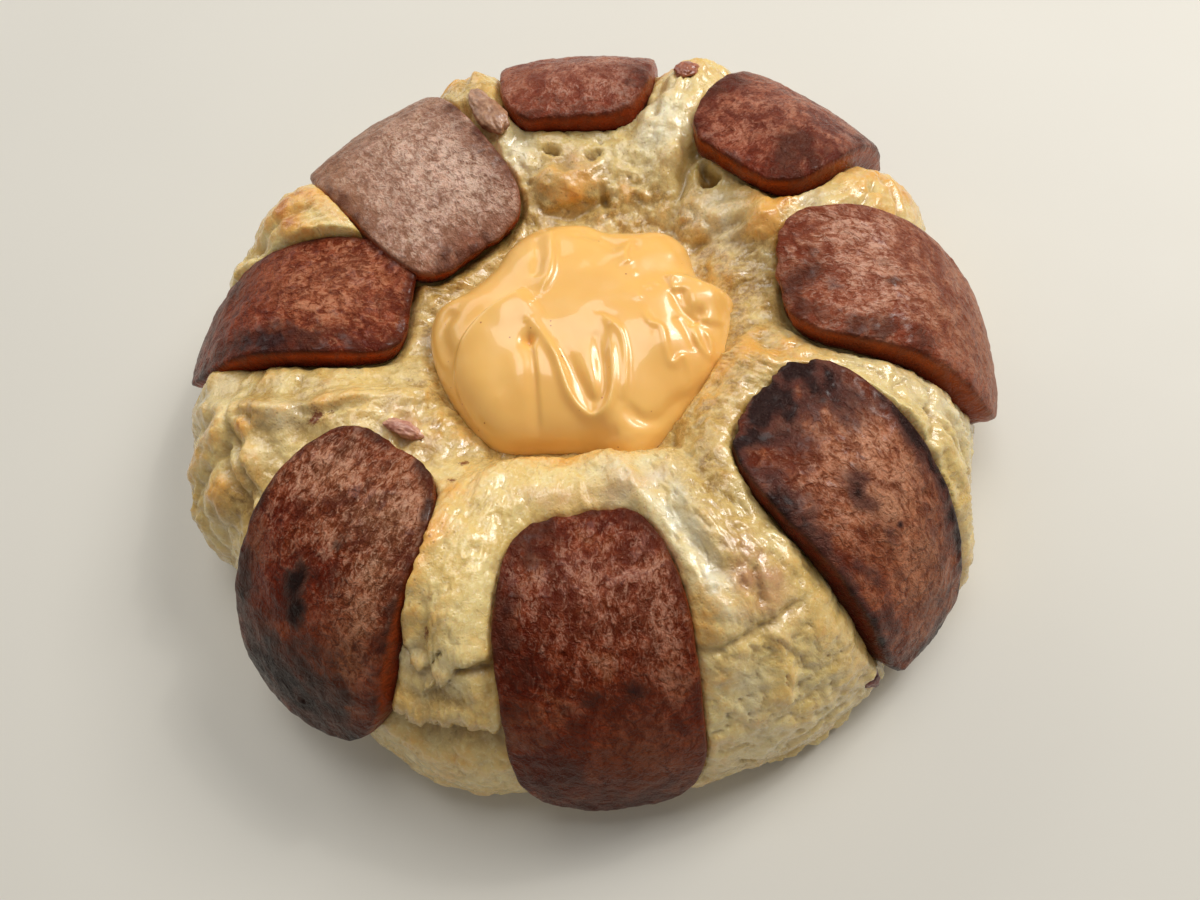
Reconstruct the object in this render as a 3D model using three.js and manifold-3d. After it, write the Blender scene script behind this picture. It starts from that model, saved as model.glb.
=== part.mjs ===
// A ring-shaped meat pie: dough baked in a fluted ring tin that was lined with eight fried
// slices of luncheon meat, turned out, with a spoonful of thick orange sauce in its middle.
//
// Millimetres, +Z up. The origin is the middle of the flat base, and +X runs to the right.
// "Ring face" is the surface that the inside of the tin gave the pie. A place on it is an
// azimuth in degrees (0 is +X, 90 is +Y) and a length along its section in millimetres,
// 0 on the crest, positive down the outer wall, negative down towards the middle.

import * as THREE from 'three';
import { mergeVertices } from 'three/addons/utils/BufferGeometryUtils.js';
import Module from 'manifold-3d';

const wasm = await Module();
wasm.setup();

// ---- driving dimensions ------------------------------------------------------------

const CREST_RADIUS = 77.2;      // from the axis to the top of the ring
const CREST_HEIGHT = 59;        // height of the outer face of the slices over the base
const OUTER_REACH = 45;         // crest to outer foot, so the ring is 244 mm across
const INNER_REACH = 60;         // half-axes of the rounding that falls to the middle
const INNER_DROP = 40;

const SLICE_THICKNESS = 8.6;
const SLICE_CORNER = 3.4;       // exponent of the rounded rectangle, 2 is an ellipse
const SLICE_RIM = 1.3;          // how far the faces draw in at their rounded edge
const SLICE_CROWN = 90;         // radius that a slice is bowed to across its width
const GAP = 0.4;                // between a piece and the dough it is baked into

const WALL_FOOT = 77;           // length along the section where the outer wall ends
const WELL_EDGE = -56;          // and where the floor of the middle hollow starts
const WELL_DEPTH = 1.5;         // how much lower the centre of that floor is
const FOOT_ROUNDING = 4;

const DOUGH_STEPS = 90;         // facets round the ring
const DOUGH_ROWS = 25;          // and along its section
const SLICE_STEPS = [6, 13, 2]; // across, along and through a slice
const SEAT_STEPS = [6, 13, 1];  // and through the hollow that it sits in

const SAUCE_HEIGHT = 59;        // top of the sauce over the base
const SAUCE_FOOT = 43;          // where its rounded rim would reach the dough
const SAUCE_SWELL = 2.5;        // exponent of its domed section

// Where each slice lies: its middle on the ring face, how far it is turned in that face,
// half its width and length, how far it stands off the face, how much wider it is at its
// outer end, and how far that end springs away.
const SLICES = [
  { azimuth: -96.4, along: 25.7, turn: 0.0, width: 23.1, length: 44.4, lift: 0.9, taper: 0.04, flare: 0 },
  { azimuth: -140.4, along: 20.6, turn: -11.3, width: 24.3, length: 41.3, lift: 2.2, taper: 0.14, flare: 1.7 },
  { azimuth: 162.2, along: 12.6, turn: -7.2, width: 18.5, length: 46.5, lift: -3.2, taper: -0.18, flare: 6 },
  { azimuth: 120.5, along: 1.9, turn: 2.1, width: 24.1, length: 43.8, lift: -0.9, taper: 0.04, flare: 0 },
  { azimuth: 77.7, along: 33.8, turn: 0.7, width: 24.5, length: 44.2, lift: -0.2, taper: 0.02, flare: 0 },
  { azimuth: 34.5, along: 33, turn: -3.3, width: 23.3, length: 45.4, lift: 2.0, taper: -0.04, flare: 0 },
  { azimuth: -9.6, along: 22.9, turn: 12.6, width: 22.0, length: 44.2, lift: 0.2, taper: -0.02, flare: 1 },
  { azimuth: -49.2, along: 24.7, turn: 10.7, width: 19.6, length: 46, lift: 1.3, taper: -0.16, flare: 0.4 },
];

// Slices whose corner is pressed in by the slice that lies over it: under, over.
const OVERLAPS = [[2, 3]];

// Risen lumps of the dough. Each is a pillow with its top at a level over the ring face,
// half as wide and half as long as it says, falling away by `fall` at that distance.
const LUMPS = [
  // left of the first slice: a tall pillow over two tiers
  { azimuth: -125, along: -4, width: 15, length: 24, turn: 0, top: 0.5, fall: 3 },
  { azimuth: -118, along: 30, width: 20, length: 12, turn: 0, top: -0.5, fall: 2.5 },
  { azimuth: -118, along: 62, width: 20, length: 18, turn: 0, top: -0.5, fall: 2.5 },
  // right of it: a broad smooth flap that lies against the eighth slice
  { azimuth: -66, along: 6, width: 13, length: 24, turn: 0, top: -0.5, fall: 2.5 },
  { azimuth: -68, along: 24, width: 12, length: 16, turn: 0, top: 0.6, fall: 2 },
  { azimuth: -72, along: 48, width: 25, length: 34, turn: 0, top: 0.8, fall: 2.5 },
  { azimuth: -84, along: 58, width: 14, length: 22, turn: 0, top: -0.5, fall: 3 },
  // between the seventh and sixth slices
  { azimuth: 12, along: 22, width: 11, length: 24, turn: 0, top: 0.5, fall: 3 },
  { azimuth: 16, along: -12, width: 13, length: 12, turn: 0, top: -2, fall: 3 },
  { azimuth: 6, along: -34, width: 12, length: 10, turn: 0, top: -4, fall: 2 },
  { azimuth: -16, along: -34, width: 12, length: 10, turn: 0, top: -3, fall: 2 },
  { azimuth: 30, along: -26, width: 12, length: 12, turn: 0, top: -5, fall: 2 },
  // behind the sauce
  { azimuth: 60, along: -20, width: 13, length: 10, turn: 0, top: -6, fall: 2 },
  { azimuth: 78, along: -30, width: 14, length: 10, turn: 0, top: -5, fall: 2 },
  { azimuth: 92, along: -20, width: 14, length: 12, turn: 0, top: -6, fall: 2 },
  { azimuth: 104, along: -34, width: 12, length: 8, turn: 0, top: -5, fall: 2 },
  // between the sixth and fifth slices, with a hood at its outer end
  { azimuth: 55, along: 2, width: 8, length: 18, turn: 0, top: -1, fall: 3 },
  { azimuth: 54, along: 26, width: 9, length: 18, turn: 0, top: 2, fall: 3 },
  // between the fifth and fourth slices
  { azimuth: 99, along: 20, width: 9, length: 22, turn: 0, top: 1, fall: 3 },
  // between the fourth and third slices
  { azimuth: 143, along: 16, width: 11, length: 22, turn: 0, top: 2, fall: 3 },
  { azimuth: 150, along: 46, width: 12, length: 22, turn: 0, top: 0, fall: 3 },
  { azimuth: 158, along: -38, width: 11, length: 9, turn: 0, top: -4, fall: 2 },
  // between the third and second slices, with a pleated wall
  { azimuth: -178, along: 10, width: 12, length: 14, turn: -20, top: 0.5, fall: 3 },
  { azimuth: -170, along: -20, width: 14, length: 14, turn: 0, top: -1, fall: 2.5 },
  { azimuth: -156, along: -34, width: 14, length: 9, turn: 0, top: -2, fall: 2 },
  { azimuth: 178, along: 40, width: 9, length: 28, turn: 0, top: 0.3, fall: 3 },
  { azimuth: -174, along: 44, width: 8, length: 30, turn: 0, top: 0, fall: 3 },
  { azimuth: -167, along: 46, width: 8, length: 30, turn: 0, top: 0, fall: 3 },
  // under the outer ends of the back slices
  { azimuth: 125, along: 64, width: 24, length: 20, turn: 0, top: -2, fall: 2 },
  { azimuth: 166, along: 68, width: 24, length: 14, turn: 0, top: -2, fall: 2 },
];

// Bands of dough that rose round the end of a slice, as a rope round its outline.
// `heading` is the side of the slice they lie on: 0 its inner end, 90 its right side as
// seen from outside. They reach `spread` degrees to either side of it.
const COLLARS = [
  { slice: 0, heading: 0, spread: 75, distance: 9, width: 9, top: 2.4, fall: 4 },
  { slice: 7, heading: 50, spread: 95, distance: 7, width: 8, top: 1.6, fall: 4 },
];
const COLLAR_FADE = 0.004;      // level lost for each degree past the spread, squared

const INNER_LEVEL = -6.5;       // the dough between lumps, on the inner side of the crest
const OUTER_LEVEL = -5.5;       // and on the outer side
const WELL_LEVEL = -4;          // and where the sauce lies
const LUMP_BLEND = 1.2;         // how softly two lumps run together

// The spoonful of sauce, as seen from above: the points that its edge runs through.
const SAUCE_OUTLINE = [
  [-12, 30.5], [-19, 23], [-28, 17.5], [-37, 13], [-39, 0], [-34.5, -17], [-26, -31],
  [-12, -35], [0, -38], [10, -43.5], [27, -32], [38.5, -22], [44, -10], [45.5, -2],
  [38.5, 7], [37.5, 18], [33, 24], [25, 26], [17, 28.5], [10, 33.5], [-3, 35],
];
const SAUCE_STEPS = 40;
const SAUCE_RINGS = 7;
// Ridges and hollows that the spoon left in it.
const SAUCE_SWIRLS = [
  { x: 39, y: -3, radius: 7, height: 3 },
  { x: 32, y: -8, radius: 5, height: -3 },
  { x: -11, y: -12, radius: 6, height: -2 },
  { x: -3, y: 17, radius: 8, height: 1.2 },
  { x: 4, y: -18, radius: 9, height: -1.2 },
  { x: 12, y: -34, radius: 8, height: 1.5 },
  { x: 22, y: -14, radius: 9, height: 1.5 },
  { x: -26, y: -10, radius: 8, height: 1 },
];

// Bits of meat from the filling that show in the dough, as rounded scraps.
const SCRAPS = [
  { name: 'filling_scrap_hood', azimuth: 56.2, along: 15, level: 0.3, size: [3.6, 4.6, 2.2], turn: 0 },
  { name: 'filling_scrap_back', azimuth: 97.8, along: -0.5, level: -2.2, size: [4.2, 10, 3], turn: 14 },
  { name: 'filling_scrap_front', azimuth: -61.6, along: 64, level: -3.4, size: [2.8, 4.4, 3.2], turn: 0 },
  { name: 'filling_scrap_side', azimuth: -153.5, along: -25, level: -2.0, size: [5.4, 2.1, 2.2], turn: 31 },
];

const COLOURS = {
  dough: '#cfae72',
  sauce: '#efb56a',
  scrap: '#7a3a2c',
  slices: ['#6c3122', '#7a4030', '#8a4a35', '#b08a78', '#8f5646', '#87503f', '#96604a', '#7e4a3a'],
};

// ---- the ring face -----------------------------------------------------------------

const outerArc = new THREE.EllipseCurve(
  CREST_RADIUS, 0, OUTER_REACH, CREST_HEIGHT, Math.PI / 2, 0, true);
const innerArc = new THREE.EllipseCurve(
  CREST_RADIUS, CREST_HEIGHT - INNER_DROP, INNER_REACH, INNER_DROP, Math.PI / 2, Math.PI, false);
const OUTER_LENGTH = outerArc.getLength();
const INNER_LENGTH = innerArc.getLength();

// Radius and height of a point of the section, moved `level` outwards from the ring face.
function sectionPoint(along, level) {
  const outside = along >= 0;
  const arc = outside ? outerArc : innerArc;
  const share = THREE.MathUtils.clamp(along / (outside ? OUTER_LENGTH : -INNER_LENGTH), 0, 1);
  const point = arc.getPointAt(share);
  const tangent = arc.getTangentAt(share);
  const normal = new THREE.Vector2(-tangent.y, tangent.x).multiplyScalar(outside ? 1 : -1);
  const beyond = outside ? Math.max(0, along - OUTER_LENGTH) : 0;
  return new THREE.Vector2(point.x + level * normal.x, point.y + level * normal.y - beyond);
}

function ringRadius(along) {
  return sectionPoint(along, 0).x;
}

// Millimetres across and along from a place on the ring face to another, unturned by `turn`.
function offsetOnFace(place, azimuth, along) {
  const round = THREE.MathUtils.euclideanModulo(azimuth - place.azimuth + 180, 360) - 180;
  const across = THREE.MathUtils.degToRad(round) * ringRadius(along);
  const down = along - place.along;
  return new THREE.Vector2(across, down).rotateAround(
    new THREE.Vector2(), -THREE.MathUtils.degToRad(place.turn));
}

function roundedLength(x, y, exponent) {
  return (Math.abs(x) ** exponent + Math.abs(y) ** exponent) ** (1 / exponent);
}

// ---- the dough ---------------------------------------------------------------------

function smoothMax(a, b, blend) {
  const mix = Math.max(0, blend - Math.abs(a - b)) / blend;
  return Math.max(a, b) + mix * mix * blend / 4;
}

function lumpLevel(lump, azimuth, along) {
  const offset = offsetOnFace(lump, azimuth, along);
  const distance = Math.hypot(offset.x / lump.width, offset.y / lump.length);
  return lump.top - lump.fall * distance ** 2;
}

function collarLevel(collar, azimuth, along) {
  const slice = SLICES[collar.slice];
  const offset = offsetOnFace(slice, azimuth, along);
  const share = roundedLength(offset.x / slice.width, offset.y / slice.length, SLICE_CORNER);
  const distance = offset.length() * (1 - 1 / Math.max(share, 0.2));
  const heading = THREE.MathUtils.radToDeg(Math.atan2(offset.x, -offset.y));
  const past = Math.max(0, Math.abs(heading - collar.heading) - collar.spread);
  const beside = (distance - collar.distance) / collar.width;
  return collar.top - collar.fall * beside ** 2 - COLLAR_FADE * past ** 2;
}

function restingLevel(along) {
  const outside = THREE.MathUtils.smoothstep(along, -15, 10);
  const well = 1 - THREE.MathUtils.smoothstep(along, -48, -36);
  const level = THREE.MathUtils.lerp(INNER_LEVEL, OUTER_LEVEL, outside);
  return THREE.MathUtils.lerp(level, WELL_LEVEL, well);
}

function doughLevel(azimuth, along) {
  let level = restingLevel(along);
  if (along > WELL_EDGE + 4) {
    for (const lump of LUMPS) level = smoothMax(level, lumpLevel(lump, azimuth, along), LUMP_BLEND);
    for (const collar of COLLARS) {
      level = smoothMax(level, collarLevel(collar, azimuth, along), LUMP_BLEND);
    }
  }
  return level;
}

// Lengths along the section of the rows of facets, from the foot over the crest to the well.
function doughRows() {
  const rows = [];
  for (let row = 0; row < DOUGH_ROWS; row += 1) {
    rows.push(THREE.MathUtils.lerp(WALL_FOOT, WELL_EDGE, row / (DOUGH_ROWS - 1)));
  }
  return rows;
}

// The whole dough before anything is cut into it, `swell` larger all over.
function doughGeometry(swell) {
  const rows = doughRows();
  const base = -swell;
  const outline = [new THREE.Vector2(0, base), new THREE.Vector2(1, base)];
  for (const along of rows) outline.push(sectionPoint(along, 0));
  outline.push(new THREE.Vector2(0, 1));
  const geometry = new THREE.LatheGeometry(outline, DOUGH_STEPS);
  geometry.rotateX(Math.PI / 2);
  const position = geometry.attributes.position;
  for (let step = 0; step <= DOUGH_STEPS; step += 1) {
    const azimuth = (step % DOUGH_STEPS) * 360 / DOUGH_STEPS - 90;
    const cos = Math.cos(THREE.MathUtils.degToRad(azimuth));
    const sin = Math.sin(THREE.MathUtils.degToRad(azimuth));
    const first = step * outline.length;
    const put = (index, radius, height) => {
      position.setXYZ(first + index, radius * cos, radius * sin, height);
    };
    const foot = sectionPoint(WALL_FOOT, doughLevel(azimuth, WALL_FOOT) + swell);
    put(0, 0, base);
    put(1, foot.x - FOOT_ROUNDING, base);
    rows.forEach((along, row) => {
      const point = sectionPoint(along, doughLevel(azimuth, along) + swell);
      put(row + 2, point.x, Math.max(point.y, base + 1));
    });
    const floor = sectionPoint(WELL_EDGE, WELL_LEVEL + swell).y - WELL_DEPTH;
    put(outline.length - 1, 0, floor);
  }
  return geometry;
}

// ---- the slices --------------------------------------------------------------------

// A slice as a rounded slab bent over the ring face. `below` and `above` are its two faces
// measured from the face that shows, and `grow` widens its outline.
function sliceGeometry(slice, steps, below, above, grow) {
  const geometry = new THREE.BoxGeometry(2, 2, 2, ...steps);
  const position = geometry.attributes.position;
  const azimuth = THREE.MathUtils.degToRad(slice.azimuth);
  const outward = new THREE.Vector3(Math.cos(azimuth), Math.sin(azimuth), 0);
  const sideways = new THREE.Vector3(-Math.sin(azimuth), Math.cos(azimuth), 0);
  const point = new THREE.Vector3();
  for (let index = 0; index < position.count; index += 1) {
    point.fromBufferAttribute(position, index);
    const square = Math.max(Math.abs(point.x), Math.abs(point.y));
    const round = square / Math.max(roundedLength(point.x, point.y, SLICE_CORNER), 1e-9);
    const rim = SLICE_RIM * Math.abs(point.z);
    const v = -point.y * round * (slice.length + grow - rim);
    const widening = 1 + slice.taper * v / slice.length;
    const u = point.x * round * (slice.width + grow - rim) * widening;
    const level = THREE.MathUtils.mapLinear(point.z, -1, 1, below, above);
    const springing = slice.flare * Math.max(0, v / slice.length) ** 2;
    const place = new THREE.Vector2(u, v).rotateAround(
      new THREE.Vector2(), THREE.MathUtils.degToRad(slice.turn));
    const section = sectionPoint(slice.along + place.y, slice.lift + springing + level);
    point.set(0, 0, section.y);
    point.addScaledVector(outward, section.x - 0.5 * place.x ** 2 / SLICE_CROWN);
    point.addScaledVector(sideways, place.x);
    position.setXYZ(index, point.x, point.y, point.z);
  }
  return geometry;
}

// ---- the sauce ---------------------------------------------------------------------

function sauceSwirl(x, y) {
  let height = 0;
  for (const swirl of SAUCE_SWIRLS) {
    const distance = Math.hypot(x - swirl.x, y - swirl.y) / swirl.radius;
    height += swirl.height * Math.exp(-(distance ** 2));
  }
  return height;
}

// A domed blob with a flat underside, to be cut off where the dough is.
function sauceGeometry() {
  const points = SAUCE_OUTLINE.map(([x, y]) => new THREE.Vector3(x, y, 0));
  const edge = new THREE.CatmullRomCurve3(points, true).getSpacedPoints(SAUCE_STEPS);
  const outline = [new THREE.Vector2(0, 0)];
  for (let ring = SAUCE_RINGS; ring >= 0; ring -= 1) {
    outline.push(new THREE.Vector2(ring / SAUCE_RINGS, 1));
  }
  const geometry = new THREE.LatheGeometry(outline, SAUCE_STEPS);
  const position = geometry.attributes.position;
  const floor = sectionPoint(WELL_EDGE, WELL_LEVEL).y - 2 * WELL_DEPTH;
  for (let step = 0; step <= SAUCE_STEPS; step += 1) {
    const rim = edge[step % SAUCE_STEPS];
    outline.forEach((place, index) => {
      const share = Math.sin(place.x * Math.PI / 2);
      const x = rim.x * share;
      const y = rim.y * share;
      const dome = (1 - share ** SAUCE_SWELL) ** (1 / SAUCE_SWELL);
      const rise = (SAUCE_HEIGHT - SAUCE_FOOT) * dome + sauceSwirl(x, y) * Math.sqrt(dome);
      const height = index === 0 ? floor : SAUCE_FOOT + rise;
      position.setXYZ(step * outline.length + index, x, y, height);
    });
  }
  return geometry;
}

// ---- the scraps --------------------------------------------------------------------

function scrapGeometry(scrap, grow) {
  const geometry = new THREE.SphereGeometry(1, 10, 6);
  const azimuth = THREE.MathUtils.degToRad(scrap.azimuth);
  const place = sectionPoint(scrap.along, scrap.level);
  const under = sectionPoint(scrap.along, scrap.level - 1);
  const tilt = Math.atan2(place.x - under.x, place.y - under.y);
  geometry.scale(scrap.size[0] + grow, scrap.size[1] + grow, scrap.size[2] + grow);
  geometry.rotateZ(THREE.MathUtils.degToRad(scrap.turn));
  geometry.rotateX(-tilt);
  geometry.rotateZ(azimuth - Math.PI / 2);
  geometry.translate(place.x * Math.cos(azimuth), place.x * Math.sin(azimuth), place.y);
  return geometry;
}

// ---- cutting one piece by another --------------------------------------------------

function toSolid(geometry) {
  const bare = geometry.clone();
  bare.deleteAttribute('normal');
  bare.deleteAttribute('uv');
  const merged = mergeVertices(bare, 1e-4);
  const corners = merged.index.array;
  const kept = [];
  for (let at = 0; at < corners.length; at += 3) {
    const [a, b, c] = [corners[at], corners[at + 1], corners[at + 2]];
    if (a !== b && b !== c && c !== a) kept.push(a, b, c);
  }
  return new wasm.Manifold(new wasm.Mesh({
    numProp: 3,
    vertProperties: new Float32Array(merged.attributes.position.array),
    triVerts: new Uint32Array(kept),
  }));
}

function toGeometry(solid) {
  const mesh = solid.getMesh();
  const geometry = new THREE.BufferGeometry();
  geometry.setAttribute('position', new THREE.BufferAttribute(mesh.vertProperties, 3));
  geometry.setIndex(new THREE.BufferAttribute(mesh.triVerts, 1));
  return geometry;
}

// ---- the pie -----------------------------------------------------------------------

const pie = new THREE.Group();

function addPiece(name, geometry, colour, roughness) {
  const material = new THREE.MeshStandardMaterial({ color: colour, roughness, metalness: 0 });
  const piece = new THREE.Mesh(geometry, material);
  piece.name = name;
  pie.add(piece);
}

const CLEAR_ABOVE = 9;          // how high over a slice the dough is kept away
const seats = SLICES.map((slice) => (
  toSolid(sliceGeometry(slice, SEAT_STEPS, -SLICE_THICKNESS - GAP, CLEAR_ABOVE, GAP + SLICE_RIM))
));
const bodies = SLICES.map((slice) => (
  toSolid(sliceGeometry(slice, SLICE_STEPS, -SLICE_THICKNESS, 0, 0))
));
for (const [under, over] of OVERLAPS) {
  const clearance = sliceGeometry(SLICES[over], SLICE_STEPS, -SLICE_THICKNESS - GAP, GAP, GAP);
  bodies[under] = bodies[under].subtract(toSolid(clearance));
}

let dough = toSolid(doughGeometry(0));
for (const seat of seats) dough = dough.subtract(seat);
for (const scrap of SCRAPS) dough = dough.subtract(toSolid(scrapGeometry(scrap, GAP)));
addPiece('bread', toGeometry(dough), COLOURS.dough, 0.6);

bodies.forEach((body, index) => {
  addPiece(`meat_slice_${index + 1}`, toGeometry(body), COLOURS.slices[index], 0.4);
});

let sauce = toSolid(sauceGeometry()).subtract(toSolid(doughGeometry(GAP)));
for (const slice of SLICES) {
  const clearance = sliceGeometry(slice, SLICE_STEPS, -SLICE_THICKNESS - GAP, GAP, GAP);
  sauce = sauce.subtract(toSolid(clearance));
}
addPiece('sauce', toGeometry(sauce), COLOURS.sauce, 0.35);

for (const scrap of SCRAPS) {
  addPiece(scrap.name, toGeometry(toSolid(scrapGeometry(scrap, 0))), COLOURS.scrap, 0.45);
}

export default pie;
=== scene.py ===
"""The looks of a ring-shaped meat pie: baked dough, eight bent slices of fried luncheon meat
and a spoonful of thick orange sauce.

Shapes are worked out in millimetres in the frame's own axes and written to the meshes in
metres. A place on the pie is an azimuth in degrees (0 is +X, 90 is +Y) and a length along
the ring's section in millimetres: 0 on the crest, positive down the outer wall, negative
down towards the middle. A level is a height over that ring face.
"""
import math

import bmesh
import bpy
import numpy as np
from mathutils import Matrix, Vector


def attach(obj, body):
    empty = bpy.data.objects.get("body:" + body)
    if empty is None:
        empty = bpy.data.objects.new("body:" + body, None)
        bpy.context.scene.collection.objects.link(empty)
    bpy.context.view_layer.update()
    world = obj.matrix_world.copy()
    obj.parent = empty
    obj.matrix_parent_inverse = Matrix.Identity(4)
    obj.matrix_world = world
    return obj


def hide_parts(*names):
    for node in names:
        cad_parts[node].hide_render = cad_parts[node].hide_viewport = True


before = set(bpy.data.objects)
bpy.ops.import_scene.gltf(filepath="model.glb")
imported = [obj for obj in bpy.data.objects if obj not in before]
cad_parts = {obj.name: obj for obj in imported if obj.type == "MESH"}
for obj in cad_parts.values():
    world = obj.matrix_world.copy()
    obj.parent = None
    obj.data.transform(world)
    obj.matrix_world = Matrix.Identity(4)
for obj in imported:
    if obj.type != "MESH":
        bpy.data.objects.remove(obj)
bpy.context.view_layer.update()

MM = 0.001

# ---- sizes, as in the part's own source ---------------------------------------------

CREST_RADIUS = 77.2
CREST_HEIGHT = 59.0
OUTER_REACH = 45.0
INNER_REACH = 60.0
INNER_DROP = 40.0

SLICE_THICKNESS = 8.6
SLICE_CROWN = 90.0
SLICE_CLEARANCE = 0.5

# Stands for a place that lies nowhere near a slice.
OFF_THE_SLICE = 999.0

WALL_FOOT = 77.0
WELL_EDGE = -56.0
WELL_DEPTH = 1.5
FOOT_ROUNDING = 4.0
FOOT_BEVEL = 0.8

SAUCE_HEIGHT = 59.0
SAUCE_FOOT = 43.0
SAUCE_SWELL = 2.5

# Middle of each slice on the ring face, its half sizes, and how it lies and widens.
SLICE_COLUMNS = ("azimuth", "along", "turn", "width", "length", "lift", "taper", "flare")
SLICES = [dict(zip(SLICE_COLUMNS, row)) for row in [
    (-96.4, 25.7, 0.0, 23.1, 44.4, 0.9, 0.04, 0.0),
    (-140.4, 20.6, -11.3, 24.3, 41.3, 2.2, 0.14, 1.7),
    (162.2, 12.6, -7.2, 18.5, 46.5, -3.2, -0.18, 6.0),
    (120.5, 1.9, 2.1, 24.1, 43.8, -0.9, 0.04, 0.0),
    (77.7, 33.8, 0.7, 24.5, 44.2, -0.2, 0.02, 0.0),
    (34.5, 33.0, -3.3, 23.3, 45.4, 2.0, -0.04, 0.0),
    (-9.6, 22.9, 12.6, 22.0, 44.2, 0.2, -0.02, 1.0),
    (-49.2, 24.7, 10.7, 19.6, 46.0, 1.3, -0.16, 0.4),
]]
# How square the corners are at the inner and at the outer end of each slice.
CORNERS = [(2.9, 3.9), (3.2, 3.3), (3.8, 3.4), (3.5, 3.0), (3.4, 3.4), (3.4, 3.4), (3.3, 4.0), (3.2, 3.9)]

# azimuth, along, half width, half length, turn, level of the top, fall to its edge
LUMPS = [
    (-125, -4, 15, 24, 0, 0.5, 3), (-118, 30, 20, 12, 0, -0.5, 2.5), (-118, 62, 20, 18, 0, -0.5, 2.5),
    (-66, 6, 13, 24, 0, -0.5, 2.5), (-68, 24, 12, 16, 0, 0.6, 2), (-72, 48, 25, 34, 0, 0.8, 2.5),
    (-84, 58, 14, 22, 0, -0.5, 3),
    (12, 22, 11, 24, 0, 0.5, 3), (16, -12, 13, 12, 0, -2, 3), (6, -34, 12, 10, 0, -4, 2),
    (-16, -34, 12, 10, 0, -3, 2), (30, -26, 12, 12, 0, -5, 2),
    (60, -20, 13, 10, 0, -6, 2), (78, -30, 14, 10, 0, -5, 2), (92, -20, 14, 12, 0, -6, 2),
    (104, -34, 12, 8, 0, -5, 2),
    (55, 2, 8, 18, 0, -1, 3), (54, 26, 9, 18, 0, 2, 3),
    (99, 20, 9, 22, 0, 1, 3),
    (143, 16, 11, 22, 0, 2, 3), (150, 46, 12, 22, 0, 0, 3), (158, -38, 11, 9, 0, -4, 2),
    (-178, 10, 12, 14, -20, 0.5, 3), (-170, -20, 14, 14, 0, -1, 2.5), (-156, -34, 14, 9, 0, -2, 2),
    (178, 40, 9, 28, 0, 0.3, 3), (-174, 44, 8, 30, 0, 0, 3), (-167, 46, 8, 30, 0, 0, 3),
    (125, 64, 24, 20, 0, -2, 2), (166, 68, 24, 14, 0, -2, 2),
]
# slice, heading, spread, distance, width, level of the top, fall to its edge
COLLARS = [(0, 0, 75, 9, 9, 2.4, 4), (7, 50, 95, 7, 8, 1.6, 4)]
COLLAR_FADE = 0.004
# Where a slice's wall shows: slice, heading, spread, depth of the dough beside it, rise away.
BARE_WALLS = [
    (0, 118, 34, 4.0, 2.0), (1, 128, 34, 7.0, 1.2), (2, 55, 70, 7.6, 1.3), (3, -25, 75, 7.2, 1.5),
    (4, 0, 60, 6.6, 1.5), (5, -10, 62, 7.4, 1.5), (6, -75, 75, 8.2, 1.4), (7, -100, 66, 8.6, 2.0),
]

# Levels of the dough between its lumps: inside the crest, outside it and in the well.
INNER_LEVEL = -6.5
OUTER_LEVEL = -5.5
WELL_LEVEL = -4.0
LUMP_BLEND = 1.2

SAUCE_OUTLINE = [
    (-12, 30.5), (-19, 23), (-28, 17.5), (-37, 13), (-39, 0), (-34.5, -17), (-26, -31),
    (-12, -35), (0, -38), (10, -43.5), (27, -32), (38.5, -22), (44, -10), (45.5, -2),
    (38.5, 7), (37.5, 18), (33, 24), (25, 26), (17, 28.5), (10, 33.5), (-3, 35),
]

# ---- the ring face ------------------------------------------------------------------


def section_table():
    """The ring's section as columns: length along it, radius, height and outward normal."""
    turn = np.linspace(0, math.pi / 2, 600)
    outer = np.stack([CREST_RADIUS + OUTER_REACH * np.sin(turn), CREST_HEIGHT * np.cos(turn)], 1)
    inner = np.stack([
        CREST_RADIUS - INNER_REACH * np.sin(turn),
        CREST_HEIGHT - INNER_DROP * (1 - np.cos(turn)),
    ], 1)
    points = np.concatenate([inner[:0:-1], outer])
    steps = np.hypot(*np.diff(points, axis=0).T)
    along = np.concatenate([[0], np.cumsum(steps)])
    along -= along[len(inner) - 1]
    tangent = np.gradient(points, axis=0)
    tangent /= np.hypot(*tangent.T)[:, None]
    return along, points[:, 0], points[:, 1], -tangent[:, 1], tangent[:, 0]


SECTION = section_table()


def section_point(along, level):
    """Radius and height of places on the section, moved outwards by their level."""
    table_along, radius, height, normal_r, normal_z = SECTION
    beyond = np.maximum(0, along - table_along[-1])
    r = np.interp(along, table_along, radius) + level * np.interp(along, table_along, normal_r)
    z = np.interp(along, table_along, height) + level * np.interp(along, table_along, normal_z)
    return r, z - beyond


def ring_radius(along):
    return np.interp(along, SECTION[0], SECTION[1])


def wrapped(azimuth):
    return (np.asarray(azimuth) + 180) % 360 - 180


def turned(x, y, degrees):
    """The plane vector x, y turned counter-clockwise."""
    c, s = math.cos(math.radians(degrees)), math.sin(math.radians(degrees))
    return x * c - y * s, x * s + y * c


def on_face(place_azimuth, place_along, turn, azimuth, along):
    """Millimetres across and along from a place on the ring face, unturned."""
    across = np.radians(wrapped(azimuth - place_azimuth)) * ring_radius(along)
    return turned(across, along - place_along, -turn)


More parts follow.
